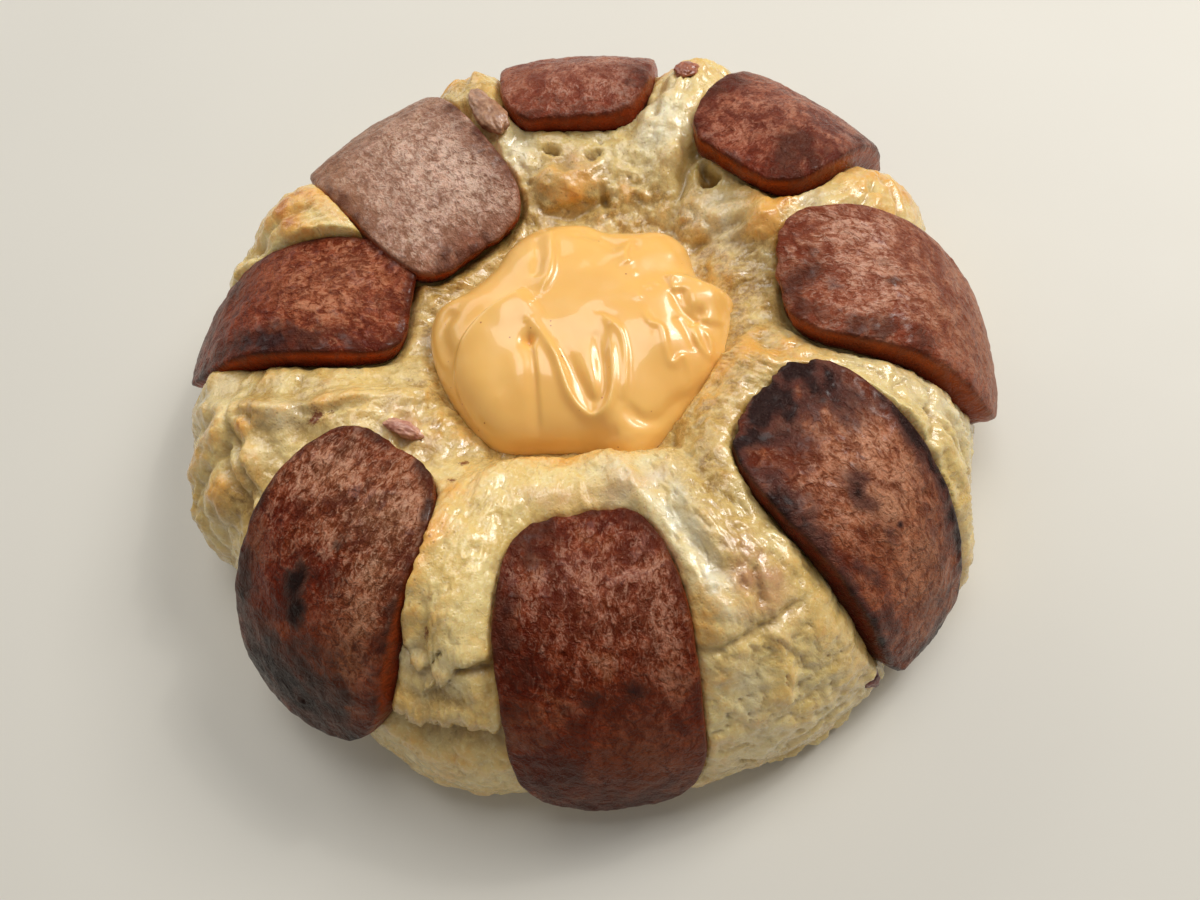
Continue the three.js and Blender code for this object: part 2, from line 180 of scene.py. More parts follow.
def on_slice(piece, azimuth, along):
    """Across and along a slice, and how much its bowed face lies off the ring face there."""
    r = ring_radius(along)
    away = np.radians(wrapped(azimuth - piece["azimuth"]))
    across = r * np.sin(away)
    inwards = r * np.cos(away) + across**2 / (2 * SLICE_CROWN) - r
    normal_r = np.interp(along, SECTION[0], SECTION[3])
    tangent_r = np.interp(along, SECTION[0], SECTION[4])
    x, y = turned(across, along + inwards * tangent_r - piece["along"], -piece["turn"])
    x = np.where(np.abs(away) > math.pi / 3, OFF_THE_SLICE, x)
    return x / (1 + piece["taper"] * y / piece["length"]), y, inwards * normal_r


def corner_exponent(piece, y):
    """How square a slice's corners are towards the end that y lies on, from -1 to 1."""
    inner, outer = CORNERS[SLICES.index(piece)]
    return inner + (outer - inner) * (0.5 + 0.5 * np.clip(y * 2, -1, 1))


def rounded_length(x, y, exponent):
    return (np.abs(x) ** exponent + np.abs(y) ** exponent) ** (1 / exponent)


def past_slice(piece, x, y):
    """Distance outside a slice's outline, negative inside it."""
    across, along = x / piece["width"], y / piece["length"]
    share = rounded_length(across, along, corner_exponent(piece, along))
    return np.hypot(x, y) * (1 - 1 / np.maximum(share, 0.2))


# ---- seeded noise -------------------------------------------------------------------


def lattice(cell, seed):
    """A repeatable pseudo-random number from 0 to 1 for each cell of a grid."""
    mixed = cell[..., 0] * 73856093 ^ cell[..., 1] * 19349663 ^ cell[..., 2] * 83492791
    mixed = (mixed ^ (seed * 2654435761)) & 0xFFFFFFFF
    mixed = (mixed ^ (mixed >> 15)) * 2246822519 & 0xFFFFFFFF
    mixed = (mixed ^ (mixed >> 13)) * 3266489917 & 0xFFFFFFFF
    return ((mixed ^ (mixed >> 16)) & 0xFFFF) / 65535.0


def swell(points, size, seed):
    """Smooth noise from -1 to 1 whose lumps are about `size` across."""
    scaled = points / size
    cell = np.floor(scaled).astype(np.int64)
    part = scaled - cell
    fade = part * part * part * (part * (part * 6 - 15) + 10)
    total = 0.0
    for corner in np.ndindex(2, 2, 2):
        offset = np.array(corner)
        weight = np.prod(np.where(offset == 1, fade, 1 - fade), axis=-1)
        at = cell + offset
        pull = sum((lattice(at, seed * 7 + k) * 2 - 1) * (part[..., k] - corner[k]) for k in range(3))
        total = total + weight * pull
    return np.clip(total * 1.6, -1, 1)


def rough(points, size, octaves, seed):
    """Layers of noise, each half as large and half as strong."""
    return sum(swell(points, size / 2**k, seed + k) / 2**k for k in range(octaves))


def cells(points, size, seed):
    """Distance to the nearest of scattered centres, 0 at a centre and about 1 between them."""
    scaled = points / size
    cell = np.floor(scaled).astype(np.int64)
    nearest = np.full(points.shape[:-1], 9.0)
    for corner in np.ndindex(3, 3, 3):
        at = cell + np.array(corner) - 1
        centre = np.stack([at[..., k] + lattice(at, seed * 5 + k) for k in range(3)], -1)
        nearest = np.minimum(nearest, np.linalg.norm(centre - scaled, axis=-1))
    return nearest


def smooth_max(a, b, blend):
    mix = np.maximum(0, blend - np.abs(a - b)) / blend
    return np.maximum(a, b) + mix * mix * blend / 4


def ease(low, high, value):
    t = np.clip((value - low) / (high - low), 0, 1)
    return t * t * (3 - 2 * t)


def bell(distance, width):
    return np.exp(-((distance / width) ** 2))


# ---- lines drawn on the ring face ---------------------------------------------------


def nearest(spans):
    """Distance to the nearest of the spans of a line, its signed side and the share of the
    way along the line. A span is the way from its start to the points, then to its end. The
    side is positive to the right of the line where y points down."""
    best = np.full(np.shape(spans[0][0]), 1e9)
    side = np.zeros_like(best)
    share = np.zeros_like(best)
    for index, (px, py, dx, dy) in enumerate(spans):
        t = np.clip((px * dx + py * dy) / (dx * dx + dy * dy), 0, 1)
        distance = np.hypot(px - t * dx, py - t * dy)
        closer = distance < best
        best = np.where(closer, distance, best)
        side = np.where(closer, np.sign(py * dx - px * dy), side)
        share = np.where(closer, (index + t) / len(spans), share)
    return best, side, share


def near_line(route, azimuth, along):
    """The nearest place on a line through (azimuth, along) places of the ring face."""
    spans = []
    for start, end in zip(route, route[1:]):
        middle = (start[1] + end[1]) / 2
        scale = math.radians(1) * float(ring_radius(middle))
        spans.append((wrapped(azimuth - start[0]) * scale, along - start[1],
                      float(wrapped(end[0] - start[0])) * scale, end[1] - start[1]))
    return nearest(spans)


def between(a, b, c, d, t):
    """A number on the smooth curve from b to c, with a before them and d after them."""
    return 0.5 * (2 * b + (c - a) * t + (2 * a - 5 * b + 4 * c - d) * t**2
                  + (3 * b - a - 3 * c + d) * t**3)


def smooth_route(route, steps=6):
    """A line through the points of a route, rounded at its bends."""
    points = [route[0], *route, route[-1]]
    out = []
    for corners in zip(points, points[1:], points[2:], points[3:]):
        for t in np.linspace(0, 1, steps, endpoint=False):
            out.append(tuple(between(*axis, t) for axis in zip(*corners)))
    return out + [route[-1]]


# ---- the dough ----------------------------------------------------------------------

DOUGH_STEPS = 648
DOUGH_ROWS = 146
# The steps round the pie lie closer together between the slices and towards the front.
BETWEEN_SLICES = [-166, -119, -72, -28, 12, 56, 99, 144]
FINE_SIDE = -95

# How far the wall tucks in at its foot, and the skirt of dough that spreads out at the front:
# its azimuth, its spread in degrees and its reach.
FOOT_TUCK = 2.5
SKIRT_AZIMUTH = -70
SKIRT_SPREAD = 11
SKIRT_REACH = 4.0

# Creases: route, depth, width.
CREASES = [
    ([(-126, 12), (-123, 6), (-121, 14), (-121, 20)], 0.7, 1.4),
    ([(-116, 44), (-120, 47), (-123, 47)], 0.7, 1.2), ([(-109, 47), (-112, 43), (-116, 45)], 0.8, 1.2),
    ([(-79, -32), (-78, -20), (-77, -8), (-76, 2), (-75, 8)], 2.4, 3.2),
    ([(-70, 8), (-71, 13), (-72, 17)], 1.5, 1.0), ([(-73, 9), (-72, 14)], 1.2, 0.9),
    ([(-66, 6), (-66, 12), (-64, 14)], 0.9, 1.1),
    ([(-75, 26), (-76, 22), (-74, 18)], 0.8, 0.9),
    ([(-72, 33), (-69, 39), (-66, 41)], 0.6, 1.2), ([(-73, 39), (-70, 45), (-67, 47)], 0.6, 1.3),
    ([(-60, 62), (-70, 60), (-80, 66)], 0.6, 1.4),
    ([(-25, -8), (-26, 4), (-30, 18), (-33, 32), (-37, 48), (-42, 62)], 2.6, 1.5),
    ([(-85, 24), (-81, 23), (-77, 25)], 0.5, 0.9), ([(-66, 20), (-70, 34), (-74, 52)], 0.7, 2.2),
    ([(-29, -36), (-24, -31), (-19, -25), (-17, -18)], 2.0, 2.0),
    ([(180, 26), (-177, 19), (-174, 14), (-171, 9)], 1.8, 1.4),
    ([(-174, 20), (-169, 25), (-165, 25), (-160, 26), (-156, 36)], 2.0, 1.8),
    ([(-171, 30), (-167, 44), (-160, 58)], 1.4, 2.0), ([(-166, 34), (-160, 50), (-156, 64)], 1.0, 1.8),
    ([(176, 30), (178, 44), (178, 66)], 1.6, 2.4), ([(-177, 24), (-174, 50), (-172, 70)], 1.2, 2.0),
    ([(-172, 0), (-168, -6), (-167, -12), (-165, -22)], 1.6, 1.2),
    ([(140, 4), (148, 20), (152, 34)], 1.8, 1.8), ([(149, 2), (150, 30), (149, 52)], 1.0, 2.0),
    ([(102, 10), (99, 20), (99, 32)], 1.6, 1.6),
    ([(58, -6), (60, 6), (59, 20)], 1.4, 1.6), ([(54, -4), (54, 14)], 1.0, 1.4),
    ([(82, -44), (76, -40), (70, -37), (66, -34), (60, -32)], 1.8, 1.5), ([(69, -30), (66, -38)], 1.6, 1.0),
    ([(46, -6), (45, -16), (41, -30), (38, -42)], 2.2, 2.0),
    ([(27, -40), (25, -34), (23, -28), (20, -18)], 1.8, 1.6),
    ([(8, 2), (9, 10), (13, 18)], 1.2, 1.6),
]
# Rolls: route, height, width on the left and on the right of the line.
ROLLS = [
    ([(-124, 18), (-126, -4), (-126, -20), (-118, -34), (-104, -38), (-90, -35), (-82, -24), (-81, -8)],
     2.8, 4.5, 5.5),
    ([(-72, -12), (-70, 2), (-71, 16), (-73, 30), (-74, 46)], 1.3, 3.0, 4.0),
    ([(-72, -34), (-48, -38), (-28, -34), (-22, -22), (-21, -8), (-22, 4), (-25, 16), (-28, 36), (-33, 60)],
     3.2, 3.2, 3.8),
    ([(-30, -26), (-28, -12), (-31, 2), (-34, 14), (-38, 28), (-42, 46)], 2.0, 1.8, 2.2),
    ([(-174, 10), (-171, 0), (-170, -14), (-170, -28), (-160, -38)], 2.2, 3.5, 4.0),
    ([(-174, 13), (-168, 14), (-163, 17), (-157, 24), (-152, 38)], 2.2, 3.0, 2.4),
    ([(12, -22), (16, -15), (19, -6), (18, 4)], 2.6, 4.0, 3.0),
    ([(54, -32), (50, -23), (48, -12)], 2.2, 3.0, 3.0),
    ([(78, -26), (76, -36)], 1.8, 4.0, 4.0), ([(88, -24), (84, -38)], 1.2, 4.0, 4.0),
    ([(134, 30), (139, 4), (141, -6)], 0.9, 4.0, 4.0),
]
# Tiers: the dough to the right of the line stands back by a step. Route, step, softness.
TIERS = [
    ([(-127, 20), (-124, 20), (-121, 24), (-119.5, 21), (-117.5, 25), (-115.5, 20), (-112, 17), (-108, 15)],
     2.4, 0.4),
    ([(-131, 28), (-127, 33), (-124, 38), (-121, 40), (-118, 37), (-115, 35), (-112, 36), (-106, 35)],
     4.2, 0.4),
    ([(-175, 16), (-171, 24), (-170, 40), (-167, 56)], -1.6, 0.8),
]
# Holes: azimuth, along, radius, depth.
HOLES = [
    (83.5, -18.5, 2.0, 3.8), (85.5, -17.0, 1.3, 3.0), (73, -20.5, 1.6, 3.0), (71, -19, 1.2, 2.6),
    (71, -15, 1.0, 1.8), (39.5, -15.5, 2.6, 5.0), (37, -17.5, 2.0, 5.0), (42, -13.5, 1.8, 4.5),
    (-179, -3, 2.6, 5.0), (-176, -1.5, 1.8, 4.0),
    (-84, -24, 1.3, 1.2), (60, -26, 1.0, 1.2), (93, -27, 1.1, 1.4), (-65, -24, 0.9, 1.2), (16, -10, 1.3, 1.6),
    (-70, 4, 0.7, 0.8), (-79, 12, 0.6, 0.7), (-72, 22, 0.7, 0.8), (-81, 40, 0.7, 0.8), (-116, 37, 0.6, 1.0),
]
# Pebbly dough: azimuth, along, half width, half length, share.
PEBBLY = [
    (80, -28, 34, 18, 1.0), (56, -16, 12, 20, 0.8), (22, -30, 26, 14, 0.9), (102, -36, 12, 10, 0.9),
    (146, -40, 20, 9, 0.8), (-172, -4, 12, 18, 0.45), (-168, 20, 8, 10, 0.3), (175, 14, 8, 14, 0.7),
    (-14, -26, 10, 8, 0.6), (-66, -30, 12, 8, 0.4), (-124, 28, 16, 8, 0.35), (150, 30, 6, 8, 0.4),
]
# Broken crumb: azimuth, along, half width, half length, share.
CRUMB = [
    (84, -26, 26, 14, 0.8), (62, -18, 14, 14, 0.7), (102, -36, 14, 9, 1.0), (28, -30, 16, 10, 0.5),
    (-127, 2, 10, 16, 0.9), (-118, -38, 18, 8, 0.45), (-122, 30, 12, 5, 0.7), (-172, -6, 14, 16, 0.8),
    (-164, -34, 14, 8, 0.7), (150, -40, 16, 7, 0.9), (-70, 13, 6, 7, 0.7), (-19, -12, 5, 12, 0.8),
    (-40, -36, 22, 5, 0.5), (178, 8, 8, 10, 0.9), (-84, -22, 10, 12, 0.3),
]


def pillow_level(azimuth, along):
    """The dough's main form: risen lumps and bands over the level between them."""
    outside = ease(-15, 10, along)
    well = 1 - ease(-48, -36, along)
    level = INNER_LEVEL + (OUTER_LEVEL - INNER_LEVEL) * outside
    resting = level + (WELL_LEVEL - level) * well
    level = resting
    for place_azimuth, place_along, width, length, turn, top, fall in LUMPS:
        x, y = on_face(place_azimuth, place_along, turn, azimuth, along)
        distance = (x / width) ** 2 + (y / length) ** 2
        level = smooth_max(level, top - fall * distance, LUMP_BLEND)
    for index, heading, spread, distance, width, top, fall in COLLARS:
        piece = SLICES[index]
        x, y = on_face(piece["azimuth"], piece["along"], piece["turn"], azimuth, along)
        beside = (past_slice(piece, x, y) - distance) / width
        past = np.maximum(0, np.abs(np.degrees(np.arctan2(x, -y)) - heading) - spread)
        level = smooth_max(level, top - fall * beside**2 - COLLAR_FADE * past**2, LUMP_BLEND)
    return np.where(along > WELL_EDGE + 4, level, resting)


def folded_level(azimuth, along, place):
    """Rolls, creases, torn tiers and holes, added to the main form."""
    level = np.zeros_like(azimuth)
    wander = rough(place, 8.0, 3, 11)
    for route, height, left, right in ROLLS:
        distance, side, share = near_line(smooth_route(route), azimuth, along)
        fade = ease(0, 0.1, share) * (1 - ease(0.9, 1, share))
        width = np.where(side > 0, right, left)
        level += height * bell(distance + wander, width) * fade
    for route, depth, width in CREASES:
        distance, _, share = near_line(smooth_route(route), azimuth, along)
        fade = ease(0, 0.15, share) * (1 - ease(0.85, 1, share))
        level -= depth * bell(distance + 0.5 * wander, width) * fade
    for hole_azimuth, hole_along, radius, depth in HOLES:
        x, y = on_face(hole_azimuth, hole_along, 0, azimuth, along)
        distance = np.hypot(x, y) * (1 + 0.5 * wander)
        level -= depth * (1 - ease(0.35 * radius, 1.15 * radius, distance))
    return level


def tiered(level, azimuth, along, place):
    """Steps at the torn and folded edges, and how far each edge leans over its step."""
    slide = np.zeros_like(azimuth)
    ragged = 1.1 * rough(place, 5.0, 3, 13)
    for route, step, softness in TIERS:
        distance, side, share = near_line(route, azimuth, along)
        past = distance * side + ragged
        near = (1 - ease(10, 18, distance)) * ease(0, 0.12, share) * (1 - ease(0.88, 1, share))
        drop = ease(-softness, softness, past) * (1 - ease(3, 16, past))
        lip = 0.35 * bell(past + 1.5, 1.8)
        level = level - (step * drop - abs(step) * lip) * near
        slide += 0.6 * abs(step) * bell(past, 1.5) * near * (along > 0)
    return level, slide


def beside_walls(level, azimuth, along, place):
    """Lowers the dough to a scalloped lip where the wall of a slice shows above it."""
    scallops = 0.8 * rough(place, 6.0, 2, 19)
    for index, heading, spread, depth, rise in BARE_WALLS:
        piece = SLICES[index]
        x, y, _ = on_slice(piece, azimuth, along)
        away = np.maximum(0, past_slice(piece, x, y))
        facing = np.abs(wrapped(np.degrees(np.arctan2(x, -y)) - heading))
        share = (1 - ease(spread - 14, spread + 14, facing)) * (1 - ease(10, 18, away))
        beyond = np.maximum(0, away - 0.4 + scallops * ease(0, 2, away))
        lip = piece["lift"] - depth + rise * np.sqrt(beyond) + 1.2 * ease(0.6, 2.6, beyond)
        level = level - share * np.maximum(0, level - lip)
    return level


def pebbles(place, size, seed):
    """Rounded lumps with creases between them, from 0 in a crease to 1 on a lump."""
    return 1 - np.minimum(1, cells(place, size, seed) * 1.05) ** 2


def patch_share(patches, azimuth, along):
    share = np.zeros_like(azimuth)
    for place_azimuth, place_along, width, length, strength in patches:
        x, y = on_face(place_azimuth, place_along, 0, azimuth, along)
        share = np.maximum(share, strength * bell(np.hypot(x / width, y / length), 1.0))
    return share


def dough_relief(place, pebbly, torn):
    """Soft swelling, crinkled skin, pebbly lumps and broken crumb."""
    warp = np.stack([rough(place, 11.0, 2, seed) for seed in (23, 25, 27)], -1)
    bent_place = place + 3.0 * warp
    soft = 0.8 * rough(place, 13.0, 2, 21) + 0.55 * rough(bent_place, 5.0, 2, 31)
    wrinkle = bell(rough(bent_place * (1, 1, 1.6), 9.0, 2, 33), 0.06)
    fine_wrinkle = bell(rough(bent_place, 4.4, 2, 35), 0.08)
    lumps = 3.0 * (pebbles(bent_place, 14.0, 37) - 0.6) + 1.3 * (pebbles(bent_place, 6.5, 39) - 0.6)
    crumb = 0.55 * (pebbles(bent_place, 2.9, 61) - 0.5) + 0.3 * rough(place, 2.0, 2, 63)
    crumb = crumb - 0.9 * np.maximum(0, 0.42 - cells(place, 2.6, 71))
    grain = 0.22 * rough(bent_place, 2.6, 2, 41)
    pores = np.maximum(0, 0.30 - cells(place, 3.4, 51)) * 2.0
    level = soft - (0.6 * wrinkle + 0.3 * fine_wrinkle) * (1 - 0.5 * torn)
    return level + lumps * pebbly + crumb * torn + grain - pores * 0.7


# The rim of dough round a scrap: its height, its distance from the scrap and its width.
NEST_RISE = 1.3
NEST_DISTANCE = 1.1
NEST_WIDTH = 1.5


def nested(level, azimuth, along):
    """Raises a rim of dough round each scrap of the filling."""
    for _, scrap_azimuth, scrap_along, _, (width, length, _), turn in SCRAPS:
        x, y = on_face(scrap_azimuth, scrap_along, turn, azimuth, along)
        beyond = (np.hypot(x / width, y / length) - 1) * min(width, length)
        level = level + NEST_RISE * bell(beyond - NEST_DISTANCE, NEST_WIDTH)
    return level


def seated(level, azimuth, along):
    """Lowers the dough under each slice to where the slice lies on it."""
    for piece in SLICES:
        x, y, off = on_slice(piece, azimuth, along)
        springing = piece["flare"] * np.clip(y / piece["length"], 0, 1) ** 2
        seat = piece["lift"] + springing - SLICE_THICKNESS - SLICE_CLEARANCE - off
        inside = 1 - ease(-0.3, 0.5, past_slice(piece, x, y))
        level = level + inside * np.minimum(0, seat - level)
    return level


def blurred(grid, rows, columns):
    """A grid smoothed over a window, wrapping round its columns."""
    wide = np.pad(grid, ((rows, rows), (0, 0)), mode="edge")
    total = np.cumsum(np.vstack([np.zeros((1, wide.shape[1])), wide]), 0)
    window = 2 * rows + 1
    out = (total[window:] - total[:-window]) / window
    around = np.hstack([out[:, -columns:], out, out[:, :columns]])
    total = np.cumsum(np.hstack([np.zeros((len(out), 1)), around]), 1)
    window = 2 * columns + 1
    return (total[:, window:] - total[:, :-window]) / window


def flat_disc(rows, steps):
    """A disc: a grid bent round and closed along its seam and centre, with the ring and the
    step round it of every vertex."""
    bm = bmesh.new()
    bmesh.ops.create_grid(bm, x_segments=steps, y_segments=rows - 1, size=0.5)
    flat = bm_coordinates(bm)
    turn = (flat[:, 0] + 0.5) * math.tau
    reach = (flat[:, 1] + 0.5) * (rows - 1)
    for vert, x, y in zip(bm.verts, reach * np.cos(turn), reach * np.sin(turn)):
        vert.co = (x, y, 0)
    bmesh.ops.remove_doubles(bm, verts=bm.verts, dist=1e-3)
    flat = bm_coordinates(bm)
    ring = np.rint(np.hypot(flat[:, 0], flat[:, 1])).astype(int)
    step = np.rint(np.degrees(np.arctan2(flat[:, 1], flat[:, 0])) * steps / 360).astype(int)
    return bm, ring, step % steps


def close_underside(bm):
    """Fills the open rim with a fan of triangles."""
    rim = [edge for edge in bm.edges if edge.is_boundary]
    filled = bmesh.ops.edgeloop_fill(bm, edges=rim)
    bmesh.ops.poke(bm, faces=filled["faces"])


def finish_mesh(bm, name):
    """Makes the object of a finished bmesh, with its faces outwards and smooth."""
    bmesh.ops.recalc_face_normals(bm, faces=bm.faces)
    for face in bm.faces:
        face.smooth = True
    mesh = bpy.data.meshes.new(name)
    bm.to_mesh(mesh)
    bm.free()
    piece = bpy.data.objects.new(name, mesh)
    bpy.context.scene.collection.objects.link(piece)
    return piece


def bm_coordinates(bm):
    return np.array([vert.co for vert in bm.verts])


def move_to(bm, points):
    """Puts every vertex at its new place, given in millimetres."""
    for vert, point in zip(bm.verts, points * MM):
        vert.co = point


def paint(piece, name, values):
    """Stores up to four numbers for each vertex, which the finish reads by name."""
    layer = piece.data.attributes.new(name, "FLOAT_COLOR", "POINT")
    values = np.column_stack([*values, *[np.zeros(len(values[0]))] * (4 - len(values))])
    layer.data.foreach_set("color", values.astype(np.float32).ravel())


def dough_azimuths():
    """Azimuths of the steps round the pie, closer together where the dough shows most."""
    fine = np.linspace(-180, 180, 7201)
    density = 1 + 1.3 * sum(bell(wrapped(fine - gap), 8.5) for gap in BETWEEN_SLICES)
    density *= 1 + 0.3 * np.cos(np.radians(fine - FINE_SIDE))
    reached = np.concatenate([[0], np.cumsum((density[1:] + density[:-1]) / 2)])
    return np.interp(np.arange(DOUGH_STEPS) / DOUGH_STEPS * reached[-1], reached, fine)


def dough_grid():
    """Places of the dough's points, row by row, and the shares its finish is painted with."""
    azimuth, along = np.meshgrid(dough_azimuths(), np.linspace(WELL_EDGE, WALL_FOOT, DOUGH_ROWS))
    level = pillow_level(azimuth, along)
    r, z = section_point(along, level)
    place = np.stack([r * np.cos(np.radians(azimuth)), r * np.sin(np.radians(azimuth)), z], -1)
    torn = patch_share(CRUMB, azimuth, along) * (0.9 + 0.5 * rough(place, 5.0, 2, 15))
    pebbly = patch_share(PEBBLY, azimuth, along)
    level = level + folded_level(azimuth, along, place)
    level, slide = tiered(level, azimuth, along, place)
    level = beside_walls(level, azimuth, along, place)
    level = level + dough_relief(place, pebbly, np.clip(torn, 0, 1))
    level = nested(level, azimuth, along)
    # Painted shade: how far each point lies below its neighbours, which darkens the dough in its hollows.
    painted_hollow_shade = np.clip((blurred(level, 6, 5) - level) * 0.45, 0, 1)
    crest = level - blurred(level, 10, 8)
    level = seated(level, azimuth, along)
    golden = golden_share(azimuth, along, crest, place)
    r, z = section_point(along + slide, level)
    r = r - FOOT_TUCK * ease(WALL_FOOT - 9, WALL_FOOT, along) ** 2
    skirt = bell(wrapped(azimuth - SKIRT_AZIMUTH), SKIRT_SPREAD) * (0.8 + 0.6 * rough(place, 6.0, 2, 17))
    r = r + SKIRT_REACH * skirt * ease(WALL_FOOT - 5, WALL_FOOT, along) ** 2
    masks = [golden, torn, painted_hollow_shade, stain_share(DAMP_AND_SHADE, azimuth, along, place)]
    tints = [stain_share(PALE_AND_HIGHLIGHT, azimuth, along, place), stain_share(PINK, azimuth, along, place),
             stain_share(BURNT, azimuth, along, place)]
    return azimuth, r, np.maximum(z, FOOT_BEVEL), masks, tints


def build_bread():
    azimuth, r, z, masks, tints = dough_grid()
    floor = float(section_point(WELL_EDGE, WELL_LEVEL)[1]) - WELL_DEPTH
    bm, ring, step = flat_disc(DOUGH_ROWS + 3, DOUGH_STEPS)
    row = np.clip(ring - 1, 0, DOUGH_ROWS - 1)
    under = ring - DOUGH_ROWS
    radius = np.where(ring == 0, 0, r[row, step])
    radius -= np.where(under == 1, FOOT_BEVEL, 0) + np.where(under == 2, FOOT_ROUNDING, 0)
    height = np.where(ring == 0, floor, np.where(under > 0, 0, z[row, step]))
    angle = np.radians(azimuth[0][step])
    move_to(bm, np.stack([radius * np.cos(angle), radius * np.sin(angle), height], 1))
    close_underside(bm)
    bread = finish_mesh(bm, "baked_dough")
    beyond = np.zeros(len(bread.data.vertices) - len(step))
    paint(bread, "dough_masks", [np.append(mask[row, step], beyond) for mask in masks])
    paint(bread, "dough_tints", [np.append(tint[row, step], beyond) for tint in tints])
    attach(bread, "root")
    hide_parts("bread")
    return bread


# Browned patches: azimuth, along, half width, half length, share.
GOLDEN = [
    (-128, -8, 7, 22, 0.75), (-122, 12, 6, 14, 0.55), (-112, -38, 26, 6, 0.5), (-98, -36, 10, 5, 0.55),
    (12, 24, 12, 18, 0.65), (17, -12, 10, 10, 0.7), (143, 12, 10, 14, 0.95), (146, 30, 9, 8, 0.6),
    (100, 28, 6, 10, 0.9), (72, -34, 26, 8, 0.55), (84, -24, 14, 8, 0.35), (-26, -22, 6, 14, 0.75),
    (-40, -34, 16, 5, 0.45), (175, 14, 6, 12, 0.6), (-166, 26, 6, 10, 0.75), (-171, 16, 4, 6, 0.7),
    (-174, 30, 10, 24, 0.35), (-170, -12, 10, 14, 0.35), (-81, 14, 6, 8, 0.5), (-82, 40, 10, 24, 0.3),
    (-70, 30, 14, 30, 0.22), (-118, 62, 14, 10, 0.35), (-118, 52, 14, 8, 0.25), (-22, 20, 6, 20, 0.2),
    (61, 26, 6, 10, 0.7), (54, 20, 5, 10, 0.2), (28, -34, 20, 8, 0.25),
]
# Pale, wet and translucent, with painted highlights on the wet ridges: the same columns.
PALE_AND_HIGHLIGHT = [
    (-77, -14, 5, 16, 0.9), (-76, 6, 3, 12, 0.9), (-84, -24, 6, 8, 0.6), (57, -6, 8, 12, 0.8),
    (94, -16, 5, 8, 0.8), (-122, 24, 10, 5, 0.3), (-170, 2, 4, 6, 0.4), (26, -26, 10, 8, 0.4),
    (-27, 30, 7, 30, 0.5), (14, -2, 4, 4, 0.7), (178, 36, 5, 8, 0.5), (-78, 36, 5, 12, 0.4),
    (99, 30, 3, 8, 0.4),
]
# Soaked and tan, with less light in it: real soaking, with painted shade on the inner ring, the flap at the
# front and the left side.
DAMP_AND_SHADE = [
    (7, -30, 38, 15, 1.0), (43, -35, 38, 15, 1.0), (78, -36, 40, 15, 1.0), (110, -38, 32, 13, 0.9),
    (150, -42, 36, 11, 0.9), (-172, -38, 28, 10, 0.7), (-26, -32, 28, 13, 1.0), (-50, -30, 20, 13, 0.9),
    (-72, 8, 10, 14, 1.0), (-66, -14, 10, 16, 0.9), (-66, 34, 8, 22, 0.45), (-77, 40, 8, 16, 0.25),
    (-118, 36, 12, 16, 0.8), (-163, 28, 8, 18, 1.0), (-175, 8, 14, 8, 0.8), (-173, -6, 16, 9, 0.8),
    (101, 12, 10, 16, 0.8), (-34, 31, 8, 30, 0.3), (-26, 12, 5, 30, 0.35), (-34, -29, 16, 10, 0.9),
    (60, 4, 6, 22, 0.3), (-134, -38, 16, 8, 0.8), (-150, -34, 16, 9, 0.6), (-84, 66, 30, 10, 0.3),
    (-170, 45, 16, 20, 0.5), (178, 30, 12, 20, 0.5),
]
# Stained by meat juice.
PINK = [
    (-70, 12, 6, 9, 0.9), (-156, -26, 8, 5, 0.5), (-88, -22, 16, 3, 0.45), (-104, -22, 10, 3, 0.4),
    (78, -22, 5, 5, 0.5), (-150, -28, 6, 4, 0.5), (60, 26, 4, 4, 0.6), (-44, 60, 6, 14, 0.4),
]
# Singed specks and lines.
BURNT = [
    (-167, -8, 3, 5, 0.8), (-133, -30, 1.6, 2.0, 0.9), (-131, -22, 1.8, 1.6, 0.8), (-121, 16, 1.5, 5, 0.5),
    (-170, 24, 1.2, 3, 0.7), (-69, -38, 3, 1.4, 0.7), (-50, -39, 3, 1.4, 0.5), (-172, 30, 1.5, 5, 0.4),
]


def golden_share(azimuth, along, crest, place):
    """Browning: on what stands proud, and in the patches that were hottest."""
    share = patch_share(GOLDEN, azimuth, along)
    share = share * (0.75 + 0.6 * rough(place, 7.0, 3, 81)) + 0.2 * np.clip(crest, -0.5, 1.2)
    return np.clip(share, 0, 1)


def stain_share(patches, azimuth, along, place):
    share = patch_share(patches, azimuth, along)
    return np.clip(share * (0.85 + 0.7 * rough(place, 4.0, 3, 91)), 0, 1)


# ---- the slices ---------------------------------------------------------------------

SLICE_STEPS = (84, 150, 8)
TOP_ROUNDING = 1.3
UNDER_ROUNDING = 1.0
# The charred rim's width, and how far apart the noise of two slices is taken.
RIM_WIDTH = 3.5
NOISE_SPACING = 40.0


def sliced_box(steps):
    """A two-unit cube cut into even steps along each axis."""
    bm = bmesh.new()
    bmesh.ops.create_cube(bm, size=2)
    for axis, count in enumerate(steps):
        edges = [edge for edge in bm.edges
                 if abs(edge.verts[0].co[axis] - edge.verts[1].co[axis]) > 1e-6]
        bmesh.ops.subdivide_edges(bm, edges=edges, cuts=count - 1, use_grid_fill=True)
    return bm


